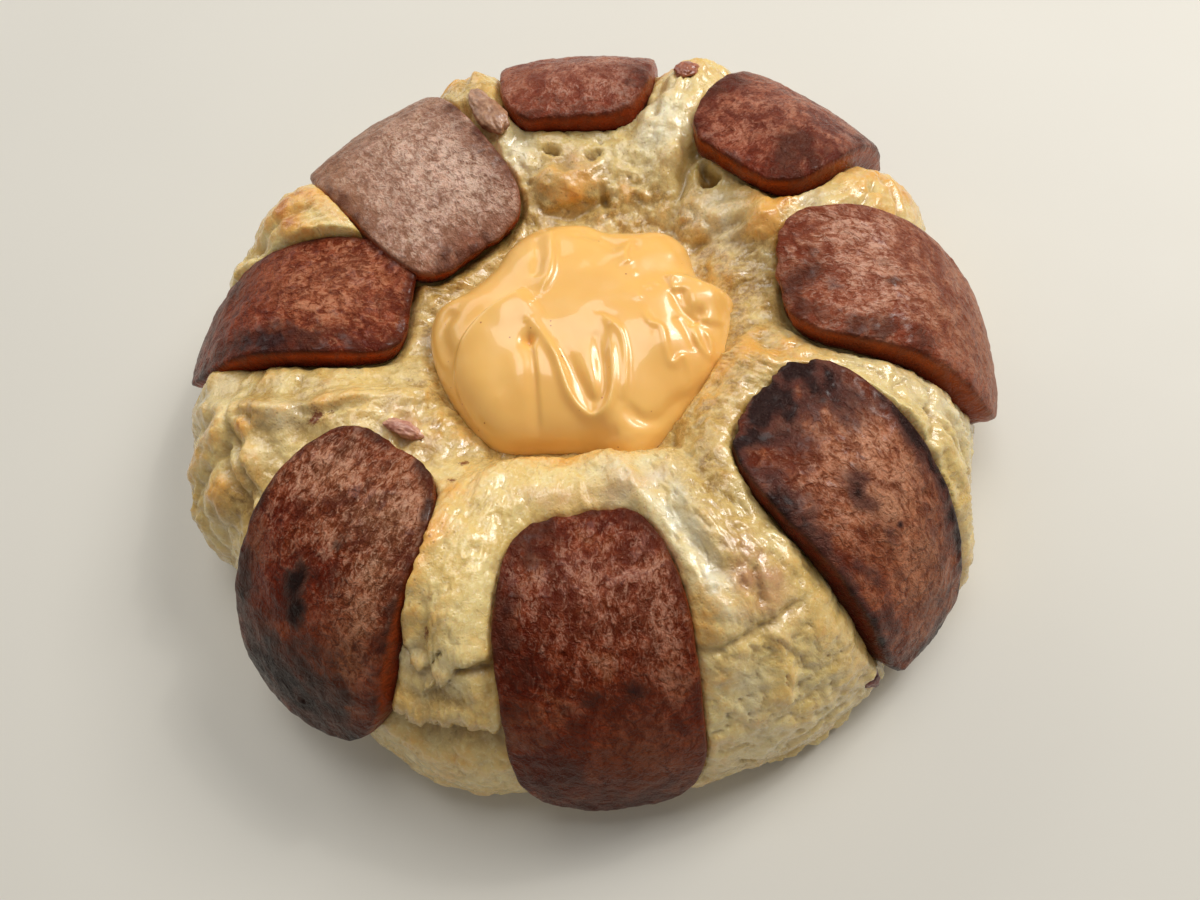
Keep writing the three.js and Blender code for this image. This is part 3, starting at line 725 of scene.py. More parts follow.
def slab(piece, box):
    """Across, along and depth of every vertex of a rounded slab, from a two-unit box."""
    u, v, w = box.T
    square = np.maximum(np.abs(u), np.abs(v))
    share = np.maximum(square, 1e-6)
    uu, vv = np.abs(u) / share, np.abs(v) / share
    reach = (piece["width"] * uu**8 + piece["length"] * vv**8) / (uu**8 + vv**8)
    border = (1 - square) * reach
    depth = (1 - w) / 2 * SLICE_THICKNESS
    top = w > -1e-3
    depth_top = np.where(top, depth, SLICE_THICKNESS - depth)
    rounding = np.where(top, TOP_ROUNDING, UNDER_ROUNDING)
    arc = rounding * math.pi / 4
    angle = np.where(
        depth_top > 1e-3,
        math.pi / 4 * (1 + np.clip(depth_top / arc, 0, 1)),
        math.pi / 4 * (1 - np.clip(border / arc, 0, 1)))
    inset = rounding * (1 - np.sin(angle)) + np.where(depth_top > 1e-3, 0, np.maximum(0, border - arc))
    drop = rounding * (1 - np.cos(angle))
    half = SLICE_THICKNESS / 2
    side = drop + np.clip(depth_top / half, 0, 1) * (half - rounding) * (depth_top > 1e-3)
    down = np.where(top, np.minimum(side, half), SLICE_THICKNESS - np.minimum(side, half))
    outline = np.maximum(rounded_length(uu, vv, corner_exponent(piece, -v)), 1e-6)
    scale = (1 - inset / reach) / outline
    return uu * np.sign(u) * scale * piece["width"], vv * -np.sign(v) * scale * piece["length"], down


def bent(piece, x, y, level):
    """Places of a slice's points on the pie."""
    x = x * (1 + piece["taper"] * y / piece["length"])
    springing = piece["flare"] * np.clip(y / piece["length"], 0, None) ** 2
    across, down = turned(x, y, piece["turn"])
    r, z = section_point(piece["along"] + down, piece["lift"] + springing + level)
    r = r - across**2 / (2 * SLICE_CROWN)
    c, s = math.cos(math.radians(piece["azimuth"])), math.sin(math.radians(piece["azimuth"]))
    return np.stack([r * c - across * s, r * s + across * c, z], 1)


# Char and colour by slice: spots are (across, along, half width, half length, strength), in shares of the
# slice's half width and half length. The char spots are real char, except the wide bands at the outer end,
# which are painted shade.
CHAR_AND_SHADE_SPOTS = [
    [(-0.9, -0.35, 0.4, 0.6, 0.55), (-0.6, -0.85, 0.45, 0.3, 0.6), (0.0, 1.0, 1.4, 0.35, 0.6),
     (-0.55, 0.55, 0.6, 0.4, 0.45), (-0.06, 0.0, 0.13, 0.07, 0.65), (0.4, -0.02, 0.16, 0.07, 0.7),
     (-0.25, 0.12, 0.3, 0.1, 0.4), (0.1, 0.75, 0.9, 0.25, 0.4)],
    [(-0.12, -0.02, 0.14, 0.13, 1.0), (0.0, 0.14, 0.12, 0.12, 1.0), (-0.15, 0.66, 0.9, 0.4, 0.95),
     (-0.85, 0.35, 0.3, 0.5, 0.6), (0.2, 1.0, 1.3, 0.3, 0.9), (0.2, -0.35, 0.1, 0.07, 0.55),
     (0.1, -0.14, 0.4, 0.12, 0.35)],
    [(0.8, -0.15, 0.35, 0.6, 0.95), (0.0, 1.05, 1.2, 0.35, 0.95), (-0.5, 0.5, 0.5, 0.35, 0.5),
     (0.9, 0.6, 0.3, 0.3, 0.6), (0.1, 0.45, 0.4, 0.25, 0.4)],
    [(-0.95, -0.3, 0.25, 0.6, 0.5), (0.2, -0.95, 0.6, 0.15, 0.55), (0.95, -0.1, 0.18, 0.4, 0.4)],
    [(0.2, -1.0, 1.0, 0.2, 0.5), (-0.8, -0.6, 0.35, 0.3, 0.4), (-0.3, -0.1, 0.3, 0.2, 0.3),
     (-0.9, 0.3, 0.4, 0.4, 0.6)],
    [(-0.6, -0.75, 0.5, 0.25, 0.6), (0.9, -0.3, 0.3, 0.6, 0.45), (-0.9, 0.1, 0.25, 0.6, 0.5),
     (0.0, 0.0, 0.4, 0.2, 0.3)],
    [(-0.35, -0.85, 0.6, 0.2, 0.55), (-0.9, -0.35, 0.25, 0.5, 0.6), (-0.15, -0.32, 0.09, 0.06, 0.5)],
    [(-0.1, -0.95, 1.4, 0.3, 1.15), (-0.9, -0.45, 0.3, 0.45, 0.9), (0.97, 0.1, 0.24, 1.0, 1.15),
     (-0.12, -0.26, 0.2, 0.13, 0.8), (-0.2, -0.02, 0.22, 0.12, 0.4), (0.1, 1.0, 1.3, 0.25, 0.9),
     (0.6, -0.75, 0.5, 0.3, 0.85), (0.2, 0.62, 0.5, 0.15, 0.45), (-0.75, 0.3, 0.25, 0.5, 0.5),
     (0.75, 0.1, 0.3, 0.5, 0.5), (0.5, 0.45, 0.35, 0.25, 0.4)],
]
# How charred the rim of each slice is, and where its face is paler: real pale fat, with painted sheen
# lightening the upper, inner end.
RIM_CHAR = [0.4, 0.4, 0.5, 0.15, 0.15, 0.3, 0.2, 0.9]
PALE_AND_SHEEN_SPOTS = [
    [(0.5, 0.4, 0.35, 0.3, 0.5), (0.1, -0.5, 0.55, 0.25, 0.45), (0.7, -0.3, 0.25, 0.5, 0.6)],
    [(0.5, -0.6, 0.5, 0.3, 0.75), (0.65, 0.0, 0.25, 0.6, 0.9), (-0.4, -0.65, 0.4, 0.2, 0.6)],
    [(0.0, -0.45, 0.6, 0.4, 0.6), (-0.4, -0.6, 0.4, 0.3, 0.5)],
    [(-0.15, -0.35, 0.8, 0.55, 1.0), (0.3, -0.7, 0.4, 0.3, 0.7)],
    [(-0.3, -0.55, 0.5, 0.25, 0.6), (-0.7, 0.0, 0.2, 0.2, 0.5)],
    [(0.2, -0.3, 0.6, 0.4, 0.5)],
    [(0.0, -0.55, 0.8, 0.4, 0.55), (0.6, -0.45, 0.4, 0.4, 0.5)],
    [(0.2, -0.2, 0.5, 0.4, 1.0), (0.1, 0.3, 0.4, 0.25, 0.8), (-0.35, 0.4, 0.3, 0.3, 0.4)],
]
# Where the meat is a clear orange red, and where its face is smooth and tanned.
RED_SPOTS = [
    [(0.5, 0.35, 0.5, 0.4, 0.7), (0.0, 0.3, 0.6, 0.3, 0.5), (0.9, 0.4, 0.2, 0.6, 0.6)],
    [(-0.15, 0.12, 0.8, 0.3, 1.0), (-0.6, -0.2, 0.3, 0.3, 0.7), (0.85, 0.35, 0.2, 0.7, 0.6),
     (0.1, -0.08, 0.4, 0.28, 1.0)],
    [(0.2, 0.2, 0.7, 0.5, 0.7), (0.85, 0.2, 0.25, 0.6, 0.6)],
    [(0.3, -0.95, 0.7, 0.15, 0.8), (-0.9, -0.6, 0.2, 0.4, 0.5)],
    [(0.3, -0.9, 0.9, 0.2, 0.6), (0.5, 0.4, 0.5, 0.5, 0.4)],
    [(-0.3, -0.95, 0.8, 0.2, 0.6), (0.2, 0.5, 0.6, 0.4, 0.3)],
    [(-0.9, 0.0, 0.2, 0.8, 0.6), (-0.5, -0.6, 0.3, 0.3, 0.4)],
    [(-0.6, 0.35, 0.3, 0.4, 0.8), (0.3, -0.2, 0.6, 0.4, 0.45), (0.2, 0.35, 0.5, 0.4, 0.4)],
]
SMOOTH_SPOTS = [
    [(0.3, 0.55, 0.7, 0.45, 0.6)],
    [(-0.2, 0.3, 0.8, 0.25, 0.4)],
    [(-0.4, 0.4, 0.7, 0.5, 0.8)],
    [(0.2, 0.85, 1.2, 0.45, 1.0), (0.8, 0.2, 0.35, 0.6, 0.6)],
    [(0.4, 0.4, 0.8, 0.7, 0.9), (0.7, -0.5, 0.4, 0.5, 0.6)],
    [(-0.2, 0.7, 1.0, 0.5, 0.8)],
    [(0.0, 0.6, 1.1, 0.6, 0.9)],
    [],
]
# Small pits and notches: across and along, radius and depth.
DENTS = [
    [(-0.28, -0.24, 0.6, 0.5)],
    [(0.1, 0.75, 0.8, 0.5)],
    [],
    [],
    [(-0.62, 0.12, 1.4, 0.6), (-0.35, -0.35, 1.0, 0.5)],
    [(0.3, 0.1, 0.8, 0.3)],
    [(0.02, -0.38, 1.9, 0.8)],
    [(0.55, 0.0, 1.2, 0.4), (0.8, 0.5, 1.0, 0.5)],
]
# Painted sheen: where a slice's face is turned this way, towards the light, within this many degrees, glints
# are painted into its colour.
PAINTED_SHEEN_DIRECTION = (0.06, -0.12, 0.991)
PAINTED_SHEEN_SPREAD = 34.0
# How ragged the inner end is, in millimetres.
JAGGED = [0.5, 0.3, 0.3, 0.4, 0.4, 0.5, 0.9, 1.8]


def spots(table, piece, x, y):
    share = np.zeros_like(x)
    for across, along, width, length, strength in table:
        dx = (x / piece["width"] - across) / width
        dy = (y / piece["length"] - along) / length
        share = np.maximum(share, strength * bell(np.hypot(dx, dy), 1.0))
    return share


def build_slice(index):
    piece = SLICES[index]
    bm = sliced_box(SLICE_STEPS)
    x, y, depth = slab(piece, bm_coordinates(bm))
    inwards = depth + NOISE_SPACING * index
    flat = np.stack([x, y, inwards], 1)
    edge_wave = 1 + 0.02 * rough(flat, 17.0, 2, 100 + index)
    edge_wave = edge_wave + 0.008 * rough(flat, 5.0, 2, 101 + index)
    inner_end = ease(0.55, 0.95, -y / piece["length"])
    jagged = JAGGED[index] * inner_end * rough(flat * (1, 0.2, 0), 5.0, 3, 105 + index)
    x, y = x * edge_wave, y * edge_wave + jagged
    face = np.clip(1 - depth / 3.0, 0, 1)
    relief = 0.5 * rough(flat, 16.0, 2, 110 + index) + 0.24 * rough(flat, 5.0, 2, 120 + index)
    relief = relief + 0.12 * rough(flat * (1, 0.6, 1), 1.8, 2, 130 + index)
    for dent_x, dent_y, radius, rise in DENTS[index]:
        away = np.hypot(x - dent_x * piece["width"], y - dent_y * piece["length"])
        relief = relief - rise * (bell(away, radius) - 0.45 * bell(away - 1.6 * radius, 0.5 * radius))
    points = bent(piece, x, y, -depth + relief * face)
    move_to(bm, bent(piece, x, y, -depth))
    bmesh.ops.recalc_face_normals(bm, faces=bm.faces)
    bm.normal_update()
    facing = np.array([vert.normal for vert in bm.verts])
    move_to(bm, points)
    made = finish_mesh(bm, f"fried_slice_{index + 1}")
    rim = RIM_CHAR[index] * bell(np.maximum(0, -past_slice(piece, x, y)), RIM_WIDTH)
    # Real char, with painted shade in the wide bands at the outer end.
    char_and_shade = np.maximum(spots(CHAR_AND_SHADE_SPOTS[index], piece, x, y), rim)
    char_and_shade = char_and_shade * (0.8 + 0.7 * rough(flat, 6.0, 3, 150 + index))
    # Paler patches: partly real pale fat, partly painted sheen at the upper end.
    pale = spots(PALE_AND_SHEEN_SPOTS[index], piece, x, y) * (0.9 + 0.5 * rough(flat, 9.0, 3, 160 + index))
    wall = ease(0.5, 1.6, depth)
    # Painted sheen: how nearly each point's face turns towards the light; the finish lightens the colour
    # there with painted glints.
    tilt = np.degrees(np.arccos(np.clip(facing @ PAINTED_SHEEN_DIRECTION, -1, 1)))
    painted_sheen = bell(tilt, PAINTED_SHEEN_SPREAD)
    paint(made, "meat_masks", [np.clip(char_and_shade, 0, 1), np.clip(pale, 0, 1), wall, painted_sheen])
    red = spots(RED_SPOTS[index], piece, x, y) * (0.9 + 0.5 * rough(flat, 8.0, 3, 170 + index))
    smooth = spots(SMOOTH_SPOTS[index], piece, x, y) * (0.95 + 0.5 * rough(flat, 10.0, 2, 180 + index))
    paint(made, "meat_skin", [np.clip(red, 0, 1), np.clip(smooth, 0, 1), depth / SLICE_THICKNESS])
    paint(made, "meat_place", [x * MM, y * MM, inwards * MM])
    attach(made, "root")
    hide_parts(f"meat_slice_{index + 1}")
    return made


# ---- the sauce ----------------------------------------------------------------------

SAUCE_STEPS = 360
SAUCE_RINGS = 110
# The hidden underside: its size against the sauce's outline, and how far it dips.
SAUCE_UNDERSIDE = 0.55
SAUCE_DIP = 5

# Strokes that the spoon left: route in millimetres, height, width to its left and right.
STROKES = [
    ([(-29, 9), (-33.5, 5), (-34, 0), (-32, -7)], -1.5, 2.4, 2.6),
    ([(0.5, 30), (0.2, 24), (-0.8, 15), (-2.3, 10), (-6, 5)], 1.2, 1.2, 3.6),
    ([(-3.5, 27), (-4, 18), (-6, 10)], -0.7, 2.4, 1.6),
    ([(-11, -4), (-11, -15), (-12, -24), (-13.6, -33)], -0.9, 0.8, 2.2),
    ([(-9, -3), (-6.5, -9), (-4.6, -16), (-3.6, -25), (-1.4, -30), (1.6, -32.4), (5.4, -31), (8, -25),
      (9.4, -17), (10.6, -10)], 1.3, 1.0, 1.5),
    ([(-2, -14), (-0.6, -22), (1.6, -28), (4.6, -27), (6, -20), (6.5, -12)], -1.1, 1.6, 1.6),
    ([(9, -6), (12.6, -11), (13.0, -17), (11.6, -24), (9.6, -31)], 0.8, 0.8, 1.6),
    ([(9.6, -31), (13, -35), (17.7, -35), (22.7, -31.5), (29.2, -29), (35, -25)], -1.6, 1.4, 2.4),
    ([(20.4, -7), (21, -10.8), (23.4, -13), (23.4, -19), (24, -22.5), (27.4, -21.2), (27.8, -26)],
     0.8, 0.9, 1.3),
    ([(28, -9), (29.8, -14), (31, -20)], -0.8, 1.0, 1.6),
    ([(31.8, -14), (32.2, -18), (34.4, -21), (35.4, -17), (34.1, -13.6)], 0.8, 0.7, 0.8),
    ([(30.8, -1), (31, -7), (33.6, -12)], -2.0, 1.8, 2.2),
    ([(29, 3), (33, 2.6), (38, -0.5)], 1.2, 1.2, 1.6),
    ([(6, 28), (13, 23), (18, 18), (25, 16.5)], -1.2, 2.0, 3.0),
    ([(21.4, 18.5), (19.2, 13), (19.8, 9)], 0.8, 0.9, 2.4),
    ([(7, -38), (1, -37.2), (-5, -36.6)], -0.8, 1.0, 1.8),
]
# Lobes that lie over the sauce beside them: route along their edge, with the lobe to its left.
LOBES = [
    ([(-9, 8.5), (-14, 6.4), (-22, 3), (-28, -1.6), (-31.5, -7), (-32.6, -13), (-31.5, -20),
      (-28, -27.4), (-21, -33)], 1.9, 0.6),
    ([(28, 5), (29, -2), (31, -8), (36, -12), (42, -12)], 1.2, 0.8),
]
SWIRLS = [
    (40.5, -3.5, 5, 2.6), (34.4, -9, 1.6, -1.6), (-11, -8.2, 1.6, -1.8), (-22, -14, 11, 0.9),
    (4, -14, 8, -0.7), (12, -41, 7, 0.8), (20, -14, 9, 0.8), (22.7, 0.4, 1.1, 0.4), (25.1, 1.4, 0.9, 0.4),
    (19.5, -2.4, 1.0, 0.35), (32.5, 12.5, 2.4, 0.6), (-8, 20, 7, 0.5), (20.2, 5.7, 0.9, 0.3),
]


def smooth_outline(points, count):
    """A closed curve through points, at even steps of length."""
    points = np.array(points, float)
    curve = []
    for index in range(len(points)):
        a, b, c, d = (points[(index + k) % len(points)] for k in (-1, 0, 1, 2))
        for t in np.linspace(0, 1, 24, endpoint=False):
            curve.append(between(a, b, c, d, t))
    curve = np.array(curve + curve[:1])
    length = np.concatenate([[0], np.cumsum(np.hypot(*np.diff(curve, axis=0).T))])
    even = np.linspace(0, length[-1], count, endpoint=False)
    return np.stack([np.interp(even, length, curve[:, k]) for k in (0, 1)], 1)


def plane_line(route, x, y):
    """The nearest place on a line in the plane. The side is positive to its right."""
    spans = [(x - ax, y - ay, bx - ax, by - ay) for (ax, ay), (bx, by) in zip(route, route[1:])]
    distance, side, share = nearest(spans)
    return distance, -side, share


def stroked(x, y):
    height = np.zeros_like(x)
    for route, rise, left, right in STROKES:
        route = smooth_route(route)
        distance, side, share = plane_line(route, x, y)
        width = np.where(side > 0, right, left)
        fade = ease(0, 0.18, share) * (1 - ease(0.82, 1, share))
        height += rise * bell(distance, width) * (0.25 + 0.75 * fade)
    for route, step, softness in LOBES:
        distance, side, share = plane_line(smooth_route(route), x, y)
        fade = ease(0, 0.1, share) * (1 - ease(0.85, 1, share))
        inside = -distance * side
        height += step * ease(-softness, softness, inside) * (1 - ease(1, 15, inside)) * fade
    for sx, sy, radius, rise in SWIRLS:
        height += rise * bell(np.hypot(x - sx, y - sy), radius)
    return height


def build_sauce():
    bm, ring, step = flat_disc(SAUCE_RINGS + 1, SAUCE_STEPS)
    edge = smooth_outline(SAUCE_OUTLINE, SAUCE_STEPS)
    start = np.argmin(np.abs(np.arctan2(edge[:, 1], edge[:, 0])))
    edge = np.roll(edge, -start, axis=0)
    share = np.sin(ring / SAUCE_RINGS * math.pi / 2)
    x, y = edge[step, 0] * share, edge[step, 1] * share
    dome = (1 - share**SAUCE_SWELL) ** (1 / SAUCE_SWELL)
    place = np.stack([x, y, np.zeros_like(x)], 1)
    soft = 0.35 * rough(place, 12.0, 2, 201)
    rise = (SAUCE_HEIGHT - SAUCE_FOOT) * dome + (stroked(x, y) + soft) * np.sqrt(dome)
    move_to(bm, np.stack([x, y, SAUCE_FOOT + rise], 1))
    rim = [edge for edge in bm.edges if edge.is_boundary]
    sunk = bmesh.ops.extrude_edge_only(bm, edges=rim)
    lowered = [item for item in sunk["geom"] if isinstance(item, bmesh.types.BMVert)]
    bmesh.ops.scale(bm, vec=(SAUCE_UNDERSIDE, SAUCE_UNDERSIDE, 1), verts=lowered)
    bmesh.ops.translate(bm, vec=(0, 0, -SAUCE_DIP * MM), verts=lowered)
    close_underside(bm)
    sauce = finish_mesh(bm, "spooned_sauce")
    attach(sauce, "root")
    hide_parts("sauce")
    return sauce


# ---- scraps of the filling ----------------------------------------------------------

# name, azimuth, along, level, size across, along and through, turn
SCRAPS = [
    ("filling_scrap_hood", 56.2, 15, 0.3, (3.6, 4.6, 2.2), 0),
    ("filling_scrap_back", 97.8, -0.5, -2.2, (4.2, 10, 3), 14),
    ("filling_scrap_front", -61.6, 64, -3.4, (2.8, 4.4, 3.2), 0),
    ("filling_scrap_side", -153.5, -25, -2.0, (5.4, 2.1, 2.2), 31),
]


def build_scrap(name, azimuth, along, level, size, turn, seed):
    bm = bmesh.new()
    bmesh.ops.create_icosphere(bm, subdivisions=5, radius=1)
    points = bm_coordinates(bm)
    points = points * (1 + 0.2 * rough(points, 0.8, 3, seed))[:, None]
    points = points * np.array(size)
    r, z = section_point(along, level)
    under_r, under_z = section_point(along, level - 1.0)
    tilt = math.atan2(r - under_r, z - under_z)
    rotation = (
        Matrix.Rotation(math.radians(azimuth - 90), 3, "Z")
        @ Matrix.Rotation(-tilt, 3, "X")
        @ Matrix.Rotation(math.radians(turn), 3, "Z"))
    points = points @ np.array(rotation).T
    centre = [r * math.cos(math.radians(azimuth)), r * math.sin(math.radians(azimuth)), z]
    move_to(bm, points + np.array(centre))
    scrap = finish_mesh(bm, name.replace("filling", "cooked"))
    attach(scrap, "root")
    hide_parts(name)
    return scrap


# ---- finishes -----------------------------------------------------------------------


class Value:
    """A number socket that adds Math nodes when it is used in an expression."""

    def __init__(self, finish, socket):
        self.finish = finish
        self.socket = socket

    def maths(self, operation, other, swapped=False):
        pair = [other, self] if swapped else [self, other]
        return self.finish.node("ShaderNodeMath", dict(operation=operation), dict(enumerate(pair)))

    def __add__(self, other):
        return self.maths("ADD", other)

    __radd__ = __add__

    def __mul__(self, other):
        return self.maths("MULTIPLY", other)

    __rmul__ = __mul__

    def __sub__(self, other):
        return self.maths("SUBTRACT", other)

    def __rsub__(self, other):
        return self.maths("SUBTRACT", other, swapped=True)


class Finish:
    """A node material on a Principled shader."""

    def __init__(self, name, constants):
        self.material = bpy.data.materials.new(name)
        self.material.use_nodes = True
        self.tree = self.material.node_tree
        self.shader = self.tree.nodes["Principled BSDF"]
        for socket, value in constants.items():
            self.shader.inputs[socket].default_value = value
        self.place = self.node("ShaderNodeTexCoord", {}, {}, output="Object")

    def node(self, kind, settings, inputs, output=0):
        """A node with its settings made first, then its inputs. Returns one output."""
        made = self.tree.nodes.new(kind)
        for name, value in settings.items():
            setattr(made, name, value)
        for key, item in inputs.items():
            self.feed(made.inputs[key], item)
        return Value(self, made.outputs[output])

    def feed(self, socket, item):
        if isinstance(item, Value):
            self.tree.links.new(item.socket, socket)
        else:
            socket.default_value = item

    def noise(self, size_mm, detail=3, roughness=0.55, distortion=0.0, place=None):
        return self.node("ShaderNodeTexNoise", {}, {
            "Vector": place or self.place, "Scale": 1 / (size_mm * MM), "Detail": detail,
            "Roughness": roughness, "Distortion": distortion}, output="Fac")

    def cells(self, size_mm):
        return self.node("ShaderNodeTexVoronoi", {}, {
            "Vector": self.place, "Scale": 1 / (size_mm * MM)}, output="Distance")

    def stretched(self, place, scale):
        return self.node("ShaderNodeMapping", {}, {"Vector": place, "Scale": scale}, output="Vector")

    def window(self, value, low, high):
        """0 below the low number and 1 beyond the high one, with a smooth rise between them."""
        return self.node("ShaderNodeMapRange", dict(interpolation_type="SMOOTHSTEP"), {
            "Value": value, "From Min": low, "From Max": high}, output="Result")

    def mix(self, share, a, b):
        made = self.tree.nodes.new("ShaderNodeMix")
        made.data_type = "RGBA"
        self.feed(made.inputs["Factor"], share)
        colours = [socket for socket in made.inputs if socket.type == "RGBA"]
        for socket, item in zip(colours, (a, b)):
            self.feed(socket, item)
        return Value(self, next(s for s in made.outputs if s.type == "RGBA"))

    def masks(self, name):
        """The four numbers that are painted on the points under a name."""
        painted = self.tree.nodes.new("ShaderNodeAttribute")
        painted.attribute_name = name
        split = self.tree.nodes.new("ShaderNodeSeparateColor")
        self.tree.links.new(painted.outputs["Color"], split.inputs[0])
        return [Value(self, socket) for socket in (*split.outputs, painted.outputs["Alpha"])]

    def bump(self, height, strength, distance_mm):
        normal = self.node("ShaderNodeBump", {}, {
            "Height": height, "Strength": strength, "Distance": distance_mm * MM}, output="Normal")
        self.feed(self.shader.inputs["Normal"], normal)

    def into(self, **links):
        for name, item in links.items():
            self.feed(self.shader.inputs[name.replace("_", " ")], item)
        return self.material


def srgb(red, green, blue):
    """A colour as it looks on screen, 0 to 255, in the linear numbers that nodes take."""
    def linear(value):
        value /= 255
        return value / 12.92 if value <= 0.04045 else ((value + 0.055) / 1.055) ** 2.4
    return (linear(red), linear(green), linear(blue), 1.0)


def dough_finish():
    """Baked dough: a thin glossy skin over pale translucent crumb, browned where the masks say, with painted
    highlights on its ridges and wet patches and painted shade in its hollows, valleys and pores and where it
    lies in shade.
    """
    finish = Finish("baked_dough", {
        "Subsurface Weight": 0.3, "Subsurface Radius": (1.0, 0.75, 0.35),
        "Subsurface Scale": 0.004, "Specular IOR Level": 0.5, "Coat Roughness": 0.07})
    golden, torn, painted_hollow_shade, damp_and_shade = finish.masks("dough_masks")
    pale_and_highlight, pink, burnt, _ = finish.masks("dough_tints")
    blotch = finish.noise(9, 3)
    speckle = finish.noise(1.6, 4, 0.65)
    freckle = finish.noise(0.55, 2, 0.7)
    skin = finish.noise(3.4, 3, 0.5, 0.6)
    crinkle = finish.noise(1.1, 3, 0.6, 0.8)
    pale = finish.mix(finish.window(blotch, 0.35, 0.65), srgb(238, 214, 148), srgb(230, 197, 120))
    # Painted highlights on the crinkle ridges, and painted shade in the valleys of the skin.
    pale = finish.mix(finish.window(crinkle, 0.5, 0.72) * 0.5, pale, srgb(252, 237, 190))
    pale = finish.mix(finish.window(skin, 0.46, 0.28) * 0.5, pale, srgb(204, 168, 94))
    # Soaked dough and painted shade in a darker tan, lighter on the crinkle ridges as a painted highlight.
    soaked_and_shaded = finish.mix(finish.window(crinkle, 0.42, 0.6), srgb(148, 108, 40), srgb(188, 150, 76))
    pale = finish.mix(damp_and_shade * (0.6 + blotch * 0.5), pale, soaked_and_shaded)
    # Pale wet dough with painted highlights.
    pale = finish.mix(pale_and_highlight * 0.85, pale, srgb(246, 240, 210))
    amount = finish.window(golden + (speckle - 0.5) * 0.7 + (blotch - 0.5) * 0.3, 0.08, 0.85)
    tanned = finish.mix(amount, pale, srgb(232, 172, 84))
    brown = finish.window(golden + (blotch - 0.5) * 0.8 + (freckle - 0.5) * 0.4, 0.75, 1.15)
    colour = finish.mix(brown, tanned, srgb(186, 112, 44))
    colour = finish.mix(pink * 0.75, colour, srgb(206, 150, 116))
    # Painted shade in the hollows.
    colour = finish.mix(painted_hollow_shade * 0.75, colour, srgb(160, 122, 60))
    # Painted shade in the pores, deeper in the torn crumb.
    pores = finish.window(finish.cells(1.7), 0.05, 0.26)
    colour = finish.mix((1 - pores) * (0.16 + torn * 0.4), colour, srgb(140, 98, 46))
    dark = finish.window(burnt + (freckle - 0.5) * 0.9, 0.35, 0.75)
    colour = finish.mix(dark, colour, srgb(122, 62, 26))
    height = skin * 0.9 + crinkle * 0.32 + pores * 0.16 + freckle * (0.03 + torn * 0.2)
    finish.bump(height, 0.55, 1.0)
    rough_share = 0.22 + (blotch - 0.5) * 0.3 + golden * 0.1
    return finish.into(Base_Color=colour, Roughness=rough_share, Coat_Weight=0.5 + pale_and_highlight * 0.2)


def meat_finish(index):
    """Fried meat: a wet, finely grained skin with small painted glints and painted sheen, charred where the
    masks say, with painted shade at the outer end and in the pits of the grain.
    """
    tone = MEAT_TONES[index]
    finish = Finish(f"fried_meat_{index + 1}", {
        "Subsurface Weight": 0.08, "Subsurface Radius": (1.0, 0.3, 0.15),
        "Subsurface Scale": 0.0025, "Specular IOR Level": 0.12, "Specular Tint": (1.0, 0.72, 0.6, 1),
        "Coat Roughness": 0.18, "Coat Tint": (1.0, 0.85, 0.78, 1)})
    char_and_shade, pale, wall, painted_sheen = finish.masks("meat_masks")
    red, smooth, depth, _ = finish.masks("meat_skin")
    place = finish.node("ShaderNodeAttribute", dict(attribute_name="meat_place"), {}, output="Vector")
    along = finish.stretched(place, (1.0, 0.6, 1.0))
    patch = finish.noise(11, 3, 0.55, 0.8, place)
    mottle = finish.noise(3.0, 3, 0.6, 0.6, place)
    streak = finish.noise(5.5, 3, 0.6, 1.4, along)
    grain = finish.noise(1.25, 3, 0.6, 1.2, along)
    fine = finish.noise(0.5, 2, 0.65, 0.0, place)
    wet = 1 - smooth * 0.7
    cloud = patch * 0.55 + mottle * 0.45
    colour = finish.mix(finish.window(cloud, 0.40, 0.60), tone["dark"], tone["mid"])
    colour = finish.mix(finish.window(patch, 0.52, 0.66) * 0.6, colour, tone["tan"])
    colour = finish.mix(red * (0.35 + mottle * 0.8), colour, tone["red"])
    colour = finish.mix(smooth * 0.7, colour, tone["tan"])
    colour = finish.mix(pale * (0.3 + mottle * 0.7), colour, tone["pale"])
    colour = finish.mix(finish.window(streak, 0.5, 0.36) * 0.6, colour, tone["dark"])
    # Painted shade: darker in the pits of the grain.
    colour = finish.mix(finish.window(grain, 0.48, 0.38) * (0.2 + wet * 0.3), colour, tone["dark"])
    # Painted glints: specks of the light tone, strongest where the painted sheen mask says the face turns
    # towards the light.
    gather = (patch - 0.5) * 0.35 + (streak - 0.5) * 0.35 + (mottle - 0.5) * 0.2 + pale * 0.1
    painted_glint = finish.window(grain * 0.75 + fine * 0.3 + gather, 0.5, 0.78)
    colour = finish.mix(painted_glint * wet * (0.05 + painted_sheen * 0.62), colour, tone["light"])
    # Char, and painted shade at the outer end, darken towards the deep and char tones.
    scorch_and_shade = char_and_shade + (mottle - 0.5) * 0.6 + (grain - 0.5) * 0.3
    colour = finish.mix(finish.window(scorch_and_shade, 0.1, 0.5) * 0.8, colour, tone["deep"])
    colour = finish.mix(finish.window(scorch_and_shade, 0.42, 0.95) * 0.95, colour, tone["char_and_shade"])
    side = finish.mix(finish.window(depth, 0.1, 0.9), tone["wall"], tone["foot"])
    side = finish.mix(finish.window(mottle, 0.4, 0.65) * 0.4, side, tone["dark"])
    colour = finish.mix(wall * (1 - char_and_shade * 0.5), colour, side)
    height = (grain * 0.7 + fine * 0.12) * (0.2 + wet * 0.8) * (1 - wall * 0.75)
    finish.bump(height + mottle * 1.3, 0.9, 1.0)
    rough_share = 0.26 + (mottle - 0.5) * 0.3 + smooth * 0.14 + char_and_shade * 0.06
    coat = finish.window(mottle, 0.45, 0.65) * wet * tone["gloss"] * 0.7
    return finish.into(Base_Color=colour, Roughness=rough_share, Coat_Weight=coat)


